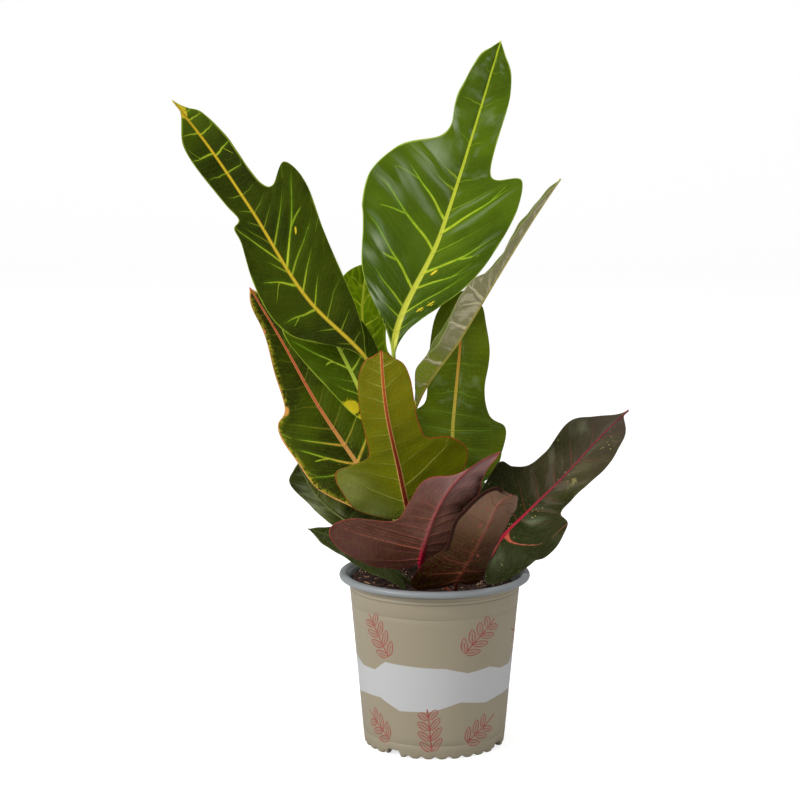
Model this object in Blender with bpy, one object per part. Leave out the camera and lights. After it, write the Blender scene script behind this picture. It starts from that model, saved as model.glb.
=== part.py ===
# Potted croton: a nursery pot filled with soil, one woody stem and the leaves on it.
# Leaf shapes are in millimetres, everything that reaches Blender is in metres.
# The origin is on the pot's axis, on the flat face it stands on. +Z is up.
import math

import bmesh
import bpy
import numpy as np

MM = 0.001

# pot
RIM_RADIUS = 65.0  # outer edge of the rolled rim
POT_HEIGHT = 119.2
BODY_TOP_RADIUS = 58.4  # outer wall, just under the rim
BODY_FOOT_RADIUS = 48.0
WALL = 1.4
RIM_DROP = 4.7  # how far the rolled rim hangs down
FLOOR_HEIGHT = 6.0  # top of the pot's floor
PAD_RADIUS = 13.0  # pad in the middle of the floor that stands on the table
POT_SEGMENTS = 96
FOOT_TOOTH = 1.8  # depth of the nicks between the scallops along the foot
SCALLOP_SEGMENTS = 3  # how many of the pot's segments one scallop takes
NOTCH_HEIGHT = 4.0
NOTCH_ANGLES = (-126, -26, 64, 154)  # wide drain notches in the foot
NOTCH_WIDTH = 13.0  # degrees
DRAIN_RADII = (31.0, 38.0)
DRAIN_COUNT = 8

# soil
SOIL_TOP = 108.0
SOIL_GAP = 0.5  # clearance to the pot and the stem
SOIL_BUMP = 1.6
SOIL_RISE = 7.0  # how much higher the soil lies on the left, where it was heaped
SOIL_RISE_FROM = 14.0
SOIL_RISE_TO = 44.0
STEM_HOLE_DEPTH = 24.0

# stem: its axis as (x, y, z) and its radius at the bottom and the top
STEM_AXIS = [(-2, 0, 86), (-2, 0, 98), (-2, 0, 108), (-9, -1, 140), (-20, 1, 185), (-25, 3, 226)]
STEM_RADII = (5.0, 3.2)
BUD_LENGTH = 9.0
JOINT_GAP = 0.6  # between a leaf stalk and the stem's skin

# leaves
LAMINA = 0.7  # blade thickness
KEEL = (2.2, 0.9)  # thickness along the midrib, at the blade's base and tip
STALK_RADIUS = 1.4
ROWS_PER_RIB = 1.7
COLUMNS = (0.0, 0.1, 0.55, 1.0)  # shares of the way from the midrib to the margin

# Each leaf:
#   root   where its stalk meets the stem: height and compass angle in degrees
#   stalk  a point that the stalk bends through
#   spine  the midrib's points from the blade's base to its tip
#   faces  which way the upper side looks, from the base to the tip
#   fold   how far both halves rise from flat, in degrees, from the base to the tip
#   cup    how much the margin lifts 30 mm out, at the base and the tip
#   ribs   (the rib's number, where it leaves the midrib, then for the left margin and for
#          the right one: how far along the midrib it ends, and how far out). A smooth curve
#          through them gives the ribs whose numbers are left out, and the tip comes next.

# The usual outline of the leaves at the back, the same on both sides: the rib's number,
# then where it starts and ends in shares of the blade's length, then millimetres out.
PLAIN_RIBS = [
    (1, 0.03, 0.06, 14),
    (2, 0.11, 0.17, 27),
    (3, 0.20, 0.34, 33),
    (4, 0.31, 0.45, 30),
    (5, 0.40, 0.48, 19),
    (6, 0.52, 0.59, 15),
    (7, 0.68, 0.75, 17),
    (8, 0.83, 0.88, 13),
    (9, 0.94, 0.95, 5),
]

LEAVES = {
    "leaf_top_tall": dict(
        root=(213, 70),
        stalk=[(-26, 13, 246)],
        spine=[(-28, 17, 265), (4, 40, 345), (30, 54, 425), (45, 54, 476)],
        faces=[(0.05, -1.0, 0.35), (0.1, -1.0, 0.1), (0.15, -1.0, -0.1)],
        fold=(16, 10, 8), cup=(-2, -1),
        ribs=[
            (1, 5, 15, 6, 15, 6),
            (3, 30, 50, 43, 65, 31),
            (5, 70, 114, 61, 122, 45),
            (6, 88, 136, 50, 141, 43),
            (8, 127, 158, 19, 140, 20),
            (10, 180, 190, 18, 195, 17),
            (11, 205, 214, 12, 210, 13),
            (12, 220, 223, 5, 220, 6),
        ]),
    "leaf_top_left": dict(
        root=(204, 160),
        stalk=[(-36, 8, 249)],
        spine=[(-46, 10, 263), (-85, 17, 302), (-125, 22, 365), (-155, 20, 410), (-175, 10, 437)],
        faces=[(0.1, -1.0, 0.35), (-0.05, -1.0, 0.25), (-0.15, -1.0, 0.0)],
        fold=(14, 12, 10), cup=(-2, -1),
        ribs=[
            (1, 5, 15, 6, 5, 4),
            (3, 27, 50, 27, 43, 26),
            (5, 60, 90, 24, 100, 37),
            (6, 77, 113, 18, 127, 42),
            (7, 95, 124, 17, 144, 37),
            (8, 115, 128, 11, 135, 22),
            (9, 135, 142, 13, 140, 16),
            (11, 185, 192, 13, 186, 14),
            (12, 202, 208, 2, 202, 11),
            (13, 210, 214, 0, 210, 5),
        ]),
    "leaf_top_right": dict(
        root=(200, -30),
        stalk=[(-16, -10, 219)],
        spine=[(-14, -12, 231), (17, -24, 284), (46, -32, 334), (65, -34, 365), (81, -30, 388)],
        faces=[(-0.75, 0.1, 0.55), (-0.83, 0.05, 0.5), (-0.8, 0.0, 0.6)],
        fold=(38, 36, 34), cup=(0, 0),
        ribs=[
            (1, 8, 12, 8, 10, 3),
            (2, 23, 25, 16, 28, 17),
            (4, 60, 75, 22, 65, 18),
            (5, 77, 95, 16, 85, 25),
            (6, 90, 106, 12, 103, 22),
            (7, 103, 117, 9, 114, 11),
            (9, 138, 150, 9, 147, 9),
            (11, 172, 179, 3, 176, 3),
        ]),
    "leaf_left": dict(
        root=(146, 170),
        stalk=[(-28, 8, 154)],
        spine=[(-36, 14, 165), (-53, 26, 188), (-80, 40, 226), (-108, 48, 275), (-127, 44, 308)],
        faces=[(0.1, -1.0, 0.45), (-0.05, -1.0, 0.3), (-0.1, -1.0, 0.1)],
        fold=(10, 8, 8), cup=(-3, -2),
        ribs=[
            (1, 5, -5, 11, 5, 8),
            (2, 19, 9, 22, 16, 20),
            (3, 30, 31, 33, 38, 34),
            (4, 45, 55, 34, 60, 38),
            (6, 72, 83, 31, 90, 20),
            (7, 90, 90, 21, 104, 17),
            (8, 110, 116, 15, 122, 16),
            (9, 134, 138, 9, 140, 13),
            (11, 167, 166, 5, 168, 4),
        ]),
    "leaf_left_inner": dict(
        root=(180, 140),
        stalk=[(-33, 8, 204)],
        spine=[(-39, 12, 214), (-54, 23, 246), (-80, 39, 296), (-90, 42, 319)],
        faces=[(0.1, -1.0, 0.4), (0.0, -1.0, 0.2)],
        fold=(10, 8), cup=(-2, -2),
        ribs=[
            (1, 5, 8, 6, 10, 8),
            (2, 20, 21, 13, 24, 18),
            (4, 50, 64, 26, 66, 24),
            (5, 65, 88, 30, 82, 20),
            (6, 83, 106, 23, 100, 14),
            (8, 114, 124, 7, 114, 5),
        ]),
    "leaf_back_upright": dict(
        root=(208, 110),
        stalk=[(-33, 24, 230)],
        spine=[(-38, 34, 237), (-47, 52, 262), (-50, 66, 290), (-46, 76, 322)],
        faces=[(0.1, -1.0, 0.5), (0.0, -1.0, 0.1)],
        fold=(10, 8), cup=(-2, -2),
        ribs=[
            (1, 7, 9, 7, 7, 8),
            (2, 20, 23, 14, 18, 18),
            (3, 32, 37, 17, 29, 15),
            (5, 58, 70, 16, 62, 16),
            (6, 71, 82, 17, 80, 12),
            (7, 84, 91, 11, 93, 8),
        ]),
    "leaf_front_middle": dict(
        root=(149, -82),
        stalk=[(-16, -22, 156)],
        spine=[(-18, -26, 165), (-24, -34, 195), (-33, -40, 240), (-36, -32, 275)],
        faces=[(0.0, 1.0, -0.1), (0.05, 1.0, 0.2), (0.05, 1.0, 0.5)],
        fold=(16, 12, 8), cup=(-2, -2),
        ribs=[
            (1, 2, 0, 18, -18, 13),
            (2, 8, 8, 33, 0, 32),
            (3, 14, 23, 44, 22, 43),
            (4, 20, 36, 48, 36, 44),
            (5, 30, 47, 38, 40, 32),
            (6, 45, 50, 23, 44, 19),
            (7, 58, 60, 20, 58, 18),
            (9, 88, 95, 18, 96, 17),
            (10, 100, 105, 14, 108, 12),
            (11, 108, 110, 6, 111, 6),
        ]),
    "leaf_right": dict(
        root=(163, 35),
        stalk=[(6, 10, 179)],
        spine=[(10, 13, 190), (13, 24, 220), (17, 40, 258), (20, 51, 285), (26, 57, 306)],
        faces=[(-0.1, -1.0, 0.4), (0.0, -1.0, 0.15)],
        fold=(12, 8), cup=(-2, -2),
        ribs=[
            (1, 5, -5, 10, -15, 19),
            (2, 10, 6, 22, 0, 30),
            (4, 29, 32, 30, 28, 36),
            (5, 41, 41, 21, 36, 25),
            (6, 59, 53, 20, 54, 20),
            (7, 80, 78, 21, 82, 21),
            (8, 102, 103, 19, 110, 14),
            (9, 116, 117, 11, 119, 7),
        ]),
    "leaf_front_mauve": dict(
        root=(119, -105),
        stalk=[(-10, -26, 121)],
        spine=[(-10, -34, 131), (-6, -46, 152), (1, -56, 173), (10, -64, 190), (28, -72, 208), (41, -76, 215)],
        faces=[(0.15, 0.75, 0.65), (0.2, 0.8, 0.55), (0.3, 0.9, 0.3)],
        fold=(0, 6, 8), cup=(0, 0),
        ribs=[
            (1, 5, 4, 12, -12, 13),
            (2, 12, 12, 24, -5, 39),
            (3, 17, 24, 30, 6, 60),
            (4, 22, 40, 32, 14, 63),
            (5, 30, 52, 28, 23, 51),
            (6, 37, 61, 22, 30, 24),
            (7, 46, 57, 15, 46, 19),
            (8, 56, 75, 18, 64, 17),
            (9, 68, 88, 12, 76, 5),
            (11, 97, 107, 3, 101, 0),
        ]),
    "leaf_front_bronze": dict(
        root=(112.5, -62),
        stalk=[(13, -38, 113)],
        spine=[(14, -46, 121), (24, -60, 144), (34, -72, 167), (41, -76, 182), (49, -70, 186)],
        faces=[(-0.1, 0.75, 0.65), (-0.1, 0.85, 0.5), (0.0, 0.95, 0.3)],
        fold=(14, 10, 8), cup=(0, 0),
        ribs=[
            (1, 4, -12, 14, -15, 9),
            (2, 12, 0, 18, -15, 26),
            (4, 25, 24, 15, 12, 25),
            (5, 32, 35, 14, 23, 19),
            (7, 54, 60, 13, 52, 21),
            (8, 64, 87, 15, 66, 17),
            (9, 74, 91, 8, 76, 11),
            (10, 79, 90, 3, 79, 6),
        ]),
    "leaf_low_right": dict(
        root=(116, -5),
        stalk=[(39, 4, 128)],
        spine=[(45, 8, 138), (64, 14, 157), (87, 18, 179), (115, 14, 211), (131, 4, 229)],
        faces=[(-0.2, -1.0, 0.65), (-0.2, -1.0, 0.4), (-0.1, -1.0, 0.1)],
        fold=(10, 8, 8), cup=(-1, -1),
        ribs=[
            (1, 3, 6, 14, -24, 0),
            (2, 7, 12, 32, -32, 3),
            (3, 14, 13, 33, -24, 19),
            (4, 20, 37, 39, 13, 34),
            (5, 26, 42, 30, 40, 28),
            (6, 35, 50, 23, 43, 18),
            (7, 46, 65, 21, 55, 16),
            (9, 71, 95, 22, 95, 17),
            (10, 87, 106, 14, 112, 12),
            (12, 116, 123, 2, 124, 0),
        ]),
    "leaf_low_back_left": dict(
        root=(127, 155),
        stalk=[(-28, 12, 132)],
        spine=[(-33, 16, 137), (-62, 32, 147), (-81, 44, 161), (-95, 50, 184)],
        faces=[(0.1, -0.8, 0.6), (0.0, -0.9, 0.3)],
        fold=(8, 8), cup=(-1, -1),
        ribs=[
            (1, 7, 5, 11, 3, 12),
            (3, 32, 40, 8, 30, 28),
            (4, 47, 58, 8, 58, 27),
            (6, 73, 81, 11, 90, 12),
            (7, 81, 86, 5, 92, 6),
        ]),
    "leaf_low_left": dict(
        root=(113.5, -135),
        stalk=[(-15, -18, 114)],
        spine=[(-22, -18, 119), (-44, -12, 130), (-66, -6, 142), (-86, 0, 148)],
        faces=[(0.1, -0.6, 0.8), (0.0, -0.8, 0.6)],
        fold=(8, 8), cup=(-1, -1),
        ribs=[
            (1, 8, -8, 8, 10, 7),
            (2, 19, 8, 10, 24, 12),
            (4, 47, 44, 10, 50, 13),
            (5, 61, 58, 8, 60, 6),
            (6, 68, 66, 4, 67, 3),
        ]),
    "leaf_back_low": dict(
        root=(114, 75),
        stalk=[(10, 34, 124)],
        spine=[(12, 44, 134), (19, 78, 158), (26, 112, 176), (29, 132, 180)],
        faces=[(0.0, -0.4, 0.9), (0.0, -0.3, 0.95)],
        fold=(12, 8), cup=(-2, -3),
        ribs=PLAIN_RIBS),
    "leaf_back_right": dict(
        root=(133, 60),
        stalk=[(10, 28, 150)],
        spine=[(14, 38, 160), (16, 66, 188), (14, 96, 206), (14, 118, 210)],
        faces=[(-0.2, -0.6, 0.8), (-0.1, -0.3, 0.9)],
        fold=(12, 8), cup=(-2, -3),
        ribs=PLAIN_RIBS),
    "leaf_back_left": dict(
        root=(137, 115),
        stalk=[(-22, 30, 152)],
        spine=[(-27, 38, 165), (-46, 70, 200), (-58, 100, 222), (-64, 118, 228)],
        faces=[(0.2, -0.6, 0.8), (0.1, -0.3, 0.9)],
        fold=(12, 8), cup=(-2, -3),
        ribs=PLAIN_RIBS),
}

LEAF_ROUGHNESS = 0.4
LEAF_COLOURS = {
    "leaf_top_tall": (0.060, 0.140, 0.010),
    "leaf_top_left": (0.035, 0.075, 0.010),
    "leaf_top_right": (0.300, 0.290, 0.190),
    "leaf_left": (0.060, 0.120, 0.012),
    "leaf_left_inner": (0.070, 0.140, 0.012),
    "leaf_back_upright": (0.090, 0.170, 0.012),
    "leaf_front_middle": (0.160, 0.170, 0.010),
    "leaf_right": (0.080, 0.130, 0.015),
    "leaf_front_mauve": (0.150, 0.090, 0.080),
    "leaf_front_bronze": (0.190, 0.120, 0.075),
    "leaf_low_right": (0.050, 0.060, 0.035),
    "leaf_low_back_left": (0.040, 0.060, 0.020),
    "leaf_low_left": (0.050, 0.070, 0.025),
    "leaf_back_low": (0.050, 0.060, 0.030),
    "leaf_back_right": (0.060, 0.090, 0.020),
    "leaf_back_left": (0.060, 0.100, 0.020),
}


def material(name, colour, roughness, metallic=0.0):
    made = bpy.data.materials.new(name)
    made.use_nodes = True
    shader = made.node_tree.nodes["Principled BSDF"]
    shader.inputs["Base Color"].default_value = (*colour, 1.0)
    shader.inputs["Roughness"].default_value = roughness
    shader.inputs["Metallic"].default_value = metallic
    return made


def add_object(name, points_mm, faces, look, sharp_degrees=40):
    mesh = bpy.data.meshes.new(name)
    mesh.from_pydata([tuple(c * MM for c in point) for point in points_mm], [], faces)
    work = bmesh.new()
    work.from_mesh(mesh)
    bmesh.ops.recalc_face_normals(work, faces=work.faces)
    work.to_mesh(mesh)
    work.free()
    mesh.shade_smooth()
    mesh.set_sharp_from_angle(angle=math.radians(sharp_degrees))
    mesh.materials.append(look)
    made = bpy.data.objects.new(name, mesh)
    bpy.context.scene.collection.objects.link(made)
    return made


def through(knots, values, places):
    """A smooth curve through the values at the knots, read at the places."""
    knots = np.asarray(knots, float)
    values = np.asarray(values, float).reshape(len(knots), -1)
    places = np.atleast_1d(np.asarray(places, float))
    span = np.diff(knots)[:, None]
    rise = np.diff(values, axis=0) / span
    slope = np.empty_like(values)
    slope[1:-1] = (span[1:] * rise[:-1] + span[:-1] * rise[1:]) / (span[1:] + span[:-1])
    if len(knots) > 2:
        slope[0] = 1.5 * rise[0] - 0.5 * slope[1]
        slope[-1] = 1.5 * rise[-1] - 0.5 * slope[-2]
    else:
        slope[:] = rise[0]
    at = np.clip(np.searchsorted(knots, places, side="right") - 1, 0, len(knots) - 2)
    width = span[at]
    q = (places - knots[at])[:, None] / width
    start = (2 * q**3 - 3 * q**2 + 1) * values[at] + (q**3 - 2 * q**2 + q) * width * slope[at]
    end = (3 * q**2 - 2 * q**3) * values[at + 1] + (q**3 - q**2) * width * slope[at + 1]
    return start + end


def unit(vectors):
    return vectors / np.linalg.norm(vectors, axis=-1, keepdims=True)


def stem_centre(height):
    axis = np.array(STEM_AXIS, float)
    return np.array([np.interp(height, axis[:, 2], axis[:, 0]),
                     np.interp(height, axis[:, 2], axis[:, 1]), height])


def stem_radius(height):
    return float(np.interp(height, (SOIL_TOP, STEM_AXIS[-1][2]), STEM_RADII))


def beside_stem(height, degrees, out):
    """A point outside the stem's skin."""
    angle = math.radians(degrees)
    reach = stem_radius(height) + out
    return stem_centre(height) + reach * np.array([math.cos(angle), math.sin(angle), 0.0])


class Midrib:
    """The leaf's centre line, with a direction, an upper side and a right side all along it."""

    def __init__(self, leaf):
        height, degrees = leaf["root"]
        first = [beside_stem(height, degrees, JOINT_GAP), beside_stem(height + 0.6, degrees, 5.0)]
        points = np.array(first + leaf["stalk"] + leaf["spine"], float)
        knots = np.concatenate([[0], np.cumsum(np.linalg.norm(np.diff(points, axis=0), axis=1))])
        fine = np.linspace(0, knots[-1], 801)
        self.line = through(knots, points, fine)
        steps = np.linalg.norm(np.diff(self.line, axis=0), axis=1)
        self.along = np.concatenate([[0], np.cumsum(steps)])
        self.stalk = float(np.interp(knots[2 + len(leaf["stalk"])], fine, self.along))
        self.blade = self.along[-1] - self.stalk
        self.leaf = leaf

    def point(self, distance):
        inside = np.clip(distance, 0, self.along[-1])
        return np.stack([np.interp(inside, self.along, self.line[:, k]) for k in range(3)], 1)

    def frame(self, u, start=0.0):
        """Point, direction, upper side and right side, u millimetres past the blade's base."""
        wanted = np.atleast_1d(u) + self.stalk
        distance = np.clip(wanted, start, self.along[-1])
        near = 1.5
        direction = unit(self.point(distance + near) - self.point(distance - near))
        centre = self.point(distance) + direction * (wanted - distance)[:, None]
        share = np.clip(np.atleast_1d(u) / self.blade, 0, 1)
        faces = self.leaf["faces"]
        looks = through(np.linspace(0, 1, len(faces)), faces, share)
        upper = unit(looks - (looks * direction).sum(1, keepdims=True) * direction)
        return centre, direction, upper, np.cross(direction, upper)

    def surface(self, u, out, side):
        """Points on the blade, `out` millimetres from the midrib, and the blade's normals."""
        # a lobe that reaches back past the blade's base doesn't follow the stalk's bend
        start = np.where(out > 2 * STALK_RADIUS, self.stalk, 0.0)
        centre, _, upper, right = self.frame(u, start)
        share = np.clip(np.atleast_1d(u) / self.blade, 0, 1)
        fold = self.leaf["fold"]
        angle = np.radians(through(np.linspace(0, 1, len(fold)), fold, share))[:, 0]
        cup = self.leaf["cup"][0] + (self.leaf["cup"][1] - self.leaf["cup"][0]) * share
        rise = out * np.sin(angle) + cup * (out / 30.0) ** 2
        points = centre + (side * out * np.cos(angle))[:, None] * right + rise[:, None] * upper
        tilt = np.sin(angle) + 2 * cup * out / 900.0
        normals = unit(upper - (side * tilt)[:, None] * right)
        return points, normals


def leaf_rows(midrib):
    """Where each cross row starts on the midrib, and where it ends on both margins."""
    blade = midrib.blade
    ribs = midrib.leaf["ribs"]
    if ribs is PLAIN_RIBS:
        ribs = [(k, start * blade, end * blade, out, end * blade, out) for k, start, end, out in ribs]
    tip = ribs[-1][0] + 1
    ribs = np.array([(0, 0, 0, 0, 0, 0), *ribs, (tip, blade, blade, 0, blade, 0)], float)
    count = round(ROWS_PER_RIB * tip) + 1
    rows = through(ribs[:, 0], ribs[:, 1:], np.linspace(0, tip, count))
    rows[:, 2] = np.maximum(rows[:, 2], 0.5)
    rows[:, 4] = np.maximum(rows[:, 4], 0.5)
    rows[:, 0] = np.maximum.accumulate(rows[:, 0])
    return rows


def build_leaf(name, leaf):
    midrib = Midrib(leaf)
    rows = leaf_rows(midrib)
    stalk_steps = 5
    stalk = np.linspace(-midrib.stalk, 0, stalk_steps + 1)[:-1]
    starts = np.concatenate([stalk, rows[:, 0]])
    blend = np.clip(starts / 10.0, 0, 1) ** 0.8
    columns = len(COLUMNS) - 1
    offsets = [(k, -1) for k in range(columns, 0, -1)] + [(0, 1)] + [(k, 1) for k in range(1, columns + 1)]
    keel = np.interp(starts / midrib.blade, (0, 1), KEEL)
    tops, bottoms = [], []
    for k, side in offsets:
        share = COLUMNS[k]
        turn = k / columns * math.pi / 2
        pick = 1 if side < 0 else 3
        ends_along = np.concatenate([stalk, rows[:, pick]])
        ends_out = np.concatenate([np.zeros(stalk_steps), rows[:, pick + 1]])
        u = starts + (ends_along - starts) * share * blend
        out = ends_out * share * blend + STALK_RADIUS * math.sin(turn) * (1 - blend)
        points, normals = midrib.surface(u, out, side)
        round_half = STALK_RADIUS * max(math.cos(turn), 0.25) * (1 - blend)
        thick = LAMINA + (keel - LAMINA) * (1.0 if k == 0 else 0.0)
        tops.append(points + round_half[:, None] * normals)
        bottoms.append(points - (round_half + thick * blend)[:, None] * normals)
    ring = [*tops, *bottoms[::-1]]
    size = len(ring)
    count = len(starts)
    points = np.stack(ring, 1).reshape(-1, 3)
    faces = []
    half = size // 2
    for row in range(count - 1):
        for k in range(size):
            a, b = row * size + k, row * size + (k + 1) % size
            # the lower face is split along the same lines as the upper one
            rising = k >= columns if k < half else k > half + columns - 1
            faces += strip(a, b, a + size, b + size, rising)
    faces += end_cap(0, size)
    faces += end_cap((count - 1) * size, size)
    look = material(name, LEAF_COLOURS[name], LEAF_ROUGHNESS)
    return add_object(name, points, faces, look)


def strip(a, b, c, d, rising):
    """Two triangles between two rows."""
    if rising:
        return [(a, b, d), (a, d, c)]
    return [(a, b, c), (b, d, c)]


def end_cap(start, size):
    """Closes a leaf's end with quads between its upper and lower points."""
    return [(start + k, start + k + 1, start + size - 2 - k, start + size - 1 - k)
            for k in range(size // 2 - 1)]


def turned(rings, segments, open_cells=()):
    """A closed solid from rings of points; its first and last rings are single points.

    open_cells holds (ring, far ring, segment) of gaps that go right through a wall.
    """
    points = [rings[0][0]]
    starts = []
    for ring in rings[1:-1]:
        starts.append(len(points))
        points += list(ring)
    points.append(rings[-1][0])
    last = len(points) - 1
    holes = {(near, segment) for near, far, segment in open_cells}
    holes |= {(far, segment) for near, far, segment in open_cells}
    faces = []
    for segment in range(segments):
        after = (segment + 1) % segments
        faces.append((0, starts[0] + after, starts[0] + segment))
        faces.append((starts[-1] + segment, starts[-1] + after, last))
        for ring, (low, high) in enumerate(zip(starts, starts[1:])):
            if (ring, segment) not in holes:
                faces.append((low + segment, low + after, high + after, high + segment))
    for near, far, segment in open_cells:
        after = (segment + 1) % segments
        faces.append((starts[near] + segment, starts[near] + after,
                      starts[far + 1] + after, starts[far + 1] + segment))
        faces.append((starts[near + 1] + after, starts[near + 1] + segment,
                      starts[far] + segment, starts[far] + after))
        if (near, (segment - 1) % segments) not in holes:
            faces.append((starts[near] + segment, starts[near + 1] + segment,
                          starts[far] + segment, starts[far + 1] + segment))
        if (near, after) not in holes:
            faces.append((starts[near] + after, starts[far + 1] + after,
                          starts[far] + after, starts[near + 1] + after))
    return points, faces


def circle(radius, height, segments, centre=(0.0, 0.0)):
    angles = np.arange(segments) * 2 * math.pi / segments
    return np.stack([centre[0] + radius * np.cos(angles), centre[1] + radius * np.sin(angles),
                     np.full(segments, float(height))], 1)


def inner_radius(height):
    """Inside of the pot's tapered wall."""
    share = (height - FLOOR_HEIGHT) / (POT_HEIGHT - RIM_DROP - FLOOR_HEIGHT)
    return BODY_FOOT_RADIUS + (BODY_TOP_RADIUS - BODY_FOOT_RADIUS) * share - WALL


def build_pot():
    under = FLOOR_HEIGHT - 2.8
    foot = BODY_FOOT_RADIUS
    body_top = POT_HEIGHT - RIM_DROP
    groove = body_top - 4.2
    outside = [
        (PAD_RADIUS, 0.0), (PAD_RADIUS + 1.0, under), (DRAIN_RADII[0], under), (DRAIN_RADII[1], under),
        (foot - 4.4, under), (foot - 3.8, 0.0), (foot - 0.6, 0.0), (foot, 1.5),
        (foot + 0.6, 6.6), (BODY_TOP_RADIUS - 0.5, groove), (BODY_TOP_RADIUS - 0.9, groove + 0.7),
        (BODY_TOP_RADIUS, groove + 1.4), (BODY_TOP_RADIUS, body_top),
        (RIM_RADIUS - 1.6, body_top + 0.2), (RIM_RADIUS, body_top + 1.8), (RIM_RADIUS - 0.5, body_top + 3.8),
        (RIM_RADIUS - 2.6, POT_HEIGHT), (RIM_RADIUS - 4.6, POT_HEIGHT - 0.4), (RIM_RADIUS - 5.7, body_top + 2.8),
    ]
    inside = [
        (inner_radius(body_top), body_top), (inner_radius(FLOOR_HEIGHT + 1), FLOOR_HEIGHT + 1.0),
        (inner_radius(FLOOR_HEIGHT) - 1.0, FLOOR_HEIGHT),
        (DRAIN_RADII[1], FLOOR_HEIGHT), (DRAIN_RADII[0], FLOOR_HEIGHT),
    ]
    foot_inner, foot_outer, foot_side = 5, 6, 7
    drain_below = 2
    drain_above = len(outside) + len(inside) - 2
    rings = [circle(radius, height, POT_SEGMENTS) for radius, height in outside + inside]
    step = 360.0 / POT_SEGMENTS
    for k in range(POT_SEGMENTS):
        away = min(abs((k * step - notch + 180) % 360 - 180) for notch in NOTCH_ANGLES)
        if away < NOTCH_WIDTH / 2:
            rings[foot_inner][k, 2] = NOTCH_HEIGHT
            rings[foot_outer][k, 2] = NOTCH_HEIGHT
            rings[foot_side][k, 2] = NOTCH_HEIGHT + 0.3
        elif k % SCALLOP_SEGMENTS == 0:
            rings[foot_inner][k, 2] = FOOT_TOOTH
            rings[foot_outer][k, 2] = FOOT_TOOTH
            rings[foot_side][k, 2] += FOOT_TOOTH / 2
    apart = POT_SEGMENTS // DRAIN_COUNT
    drains = [(drain_below, drain_above, hole * apart + k) for hole in range(DRAIN_COUNT) for k in range(3)]
    bottom = np.array([[0.0, 0.0, 0.0]])
    floor = np.array([[0.0, 0.0, FLOOR_HEIGHT]])
    points, faces = turned([bottom, *rings, floor], POT_SEGMENTS, drains)
    return add_object("pot", points, faces, material("pot_plastic", (0.30, 0.26, 0.19), 0.5))


def soil_height(x, y):
    """The soil's uneven surface, heaped up on the left."""
    wave = np.sin(0.21 * x + 1.3) * np.cos(0.17 * y) + 0.6 * np.sin(0.37 * y - 0.11 * x)
    heap = np.clip((-x - SOIL_RISE_FROM) / (SOIL_RISE_TO - SOIL_RISE_FROM), 0.0, 1.0)
    heap = heap * heap * (3.0 - 2.0 * heap)
    return SOIL_TOP + SOIL_BUMP * 0.5 * wave + SOIL_RISE * heap


def build_soil():
    segments = 48
    base = FLOOR_HEIGHT + SOIL_GAP
    skin = math.cos(math.pi / segments)  # keeps the flat-sided plug inside the pot's round wall
    hole = (stem_radius(SOIL_TOP) + SOIL_GAP) / skin
    hole_centre = stem_centre(SOIL_TOP)[:2]
    rings = [circle(inner_radius(base) - 2.0, base, segments)]
    for height in (base + 4, SOIL_TOP - 4):
        rings.append(circle(inner_radius(height) - SOIL_GAP, height, segments))
    edge = inner_radius(SOIL_TOP) - SOIL_GAP - 0.3
    for share in (0.0, 0.15, 0.32, 0.5, 0.68, 0.84, 1.0):
        ring = circle(1.0, 0.0, segments)
        radius = edge + (hole - edge) * share
        ring[:, :2] = ring[:, :2] * radius + hole_centre * share
        ring[:, 2] = soil_height(ring[:, 0], ring[:, 1])
        rings.append(ring)
    floor = SOIL_TOP - STEM_HOLE_DEPTH
    rings.append(circle(hole, floor, segments, hole_centre))
    bottom = np.array([[0.0, 0.0, base]])
    end = np.array([[*hole_centre, floor]])
    points, faces = turned([bottom, *rings, end], segments)
    return add_object("soil", points, faces, material("soil", (0.035, 0.022, 0.014), 0.9))


def build_stem():
    segments = 16
    foot, top = STEM_AXIS[0][2], STEM_AXIS[-1][2]
    heights = np.linspace(foot, top, 24)
    rings = []
    for k, height in enumerate(heights):
        rings.append(circle(stem_radius(height), height, segments, stem_centre(height)[:2]))
    tip = stem_centre(top)
    for share, width in ((0.3, 0.9), (0.7, 0.55)):
        rings.append(circle(stem_radius(top) * width, top + BUD_LENGTH * share, segments, tip[:2]))
    bottom = np.array([stem_centre(foot)])
    end = np.array([[tip[0], tip[1], top + BUD_LENGTH]])
    points, faces = turned([bottom, *rings, end], segments)
    return add_object("stem", points, faces, material("stem_bark", (0.16, 0.13, 0.08), 0.75))


for old in list(bpy.data.objects):
    bpy.data.objects.remove(old, do_unlink=True)

build_pot()
build_soil()
build_stem()
for leaf_name, leaf_shape in LEAVES.items():
    build_leaf(leaf_name, leaf_shape)
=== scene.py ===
import math

import bpy
import numpy as np
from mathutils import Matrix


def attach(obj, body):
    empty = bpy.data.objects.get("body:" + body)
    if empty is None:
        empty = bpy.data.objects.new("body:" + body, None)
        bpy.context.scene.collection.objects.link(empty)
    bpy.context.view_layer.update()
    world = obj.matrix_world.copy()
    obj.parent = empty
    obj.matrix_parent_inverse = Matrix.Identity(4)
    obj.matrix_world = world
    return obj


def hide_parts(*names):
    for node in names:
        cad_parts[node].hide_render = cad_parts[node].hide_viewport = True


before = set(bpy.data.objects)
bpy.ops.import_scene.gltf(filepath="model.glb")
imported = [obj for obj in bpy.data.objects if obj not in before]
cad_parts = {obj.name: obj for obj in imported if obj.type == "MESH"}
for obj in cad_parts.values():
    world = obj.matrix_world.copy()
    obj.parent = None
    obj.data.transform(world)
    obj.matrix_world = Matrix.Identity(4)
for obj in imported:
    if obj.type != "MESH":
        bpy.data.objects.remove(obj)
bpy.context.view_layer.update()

# Potted croton, dressed over its CAD frame: fine leaves with veins, printed pot, soil with crumbs.
# Everything is in metres except the leaf shapes, which are in millimetres.
mm = 0.001


# small helpers for node trees

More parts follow.
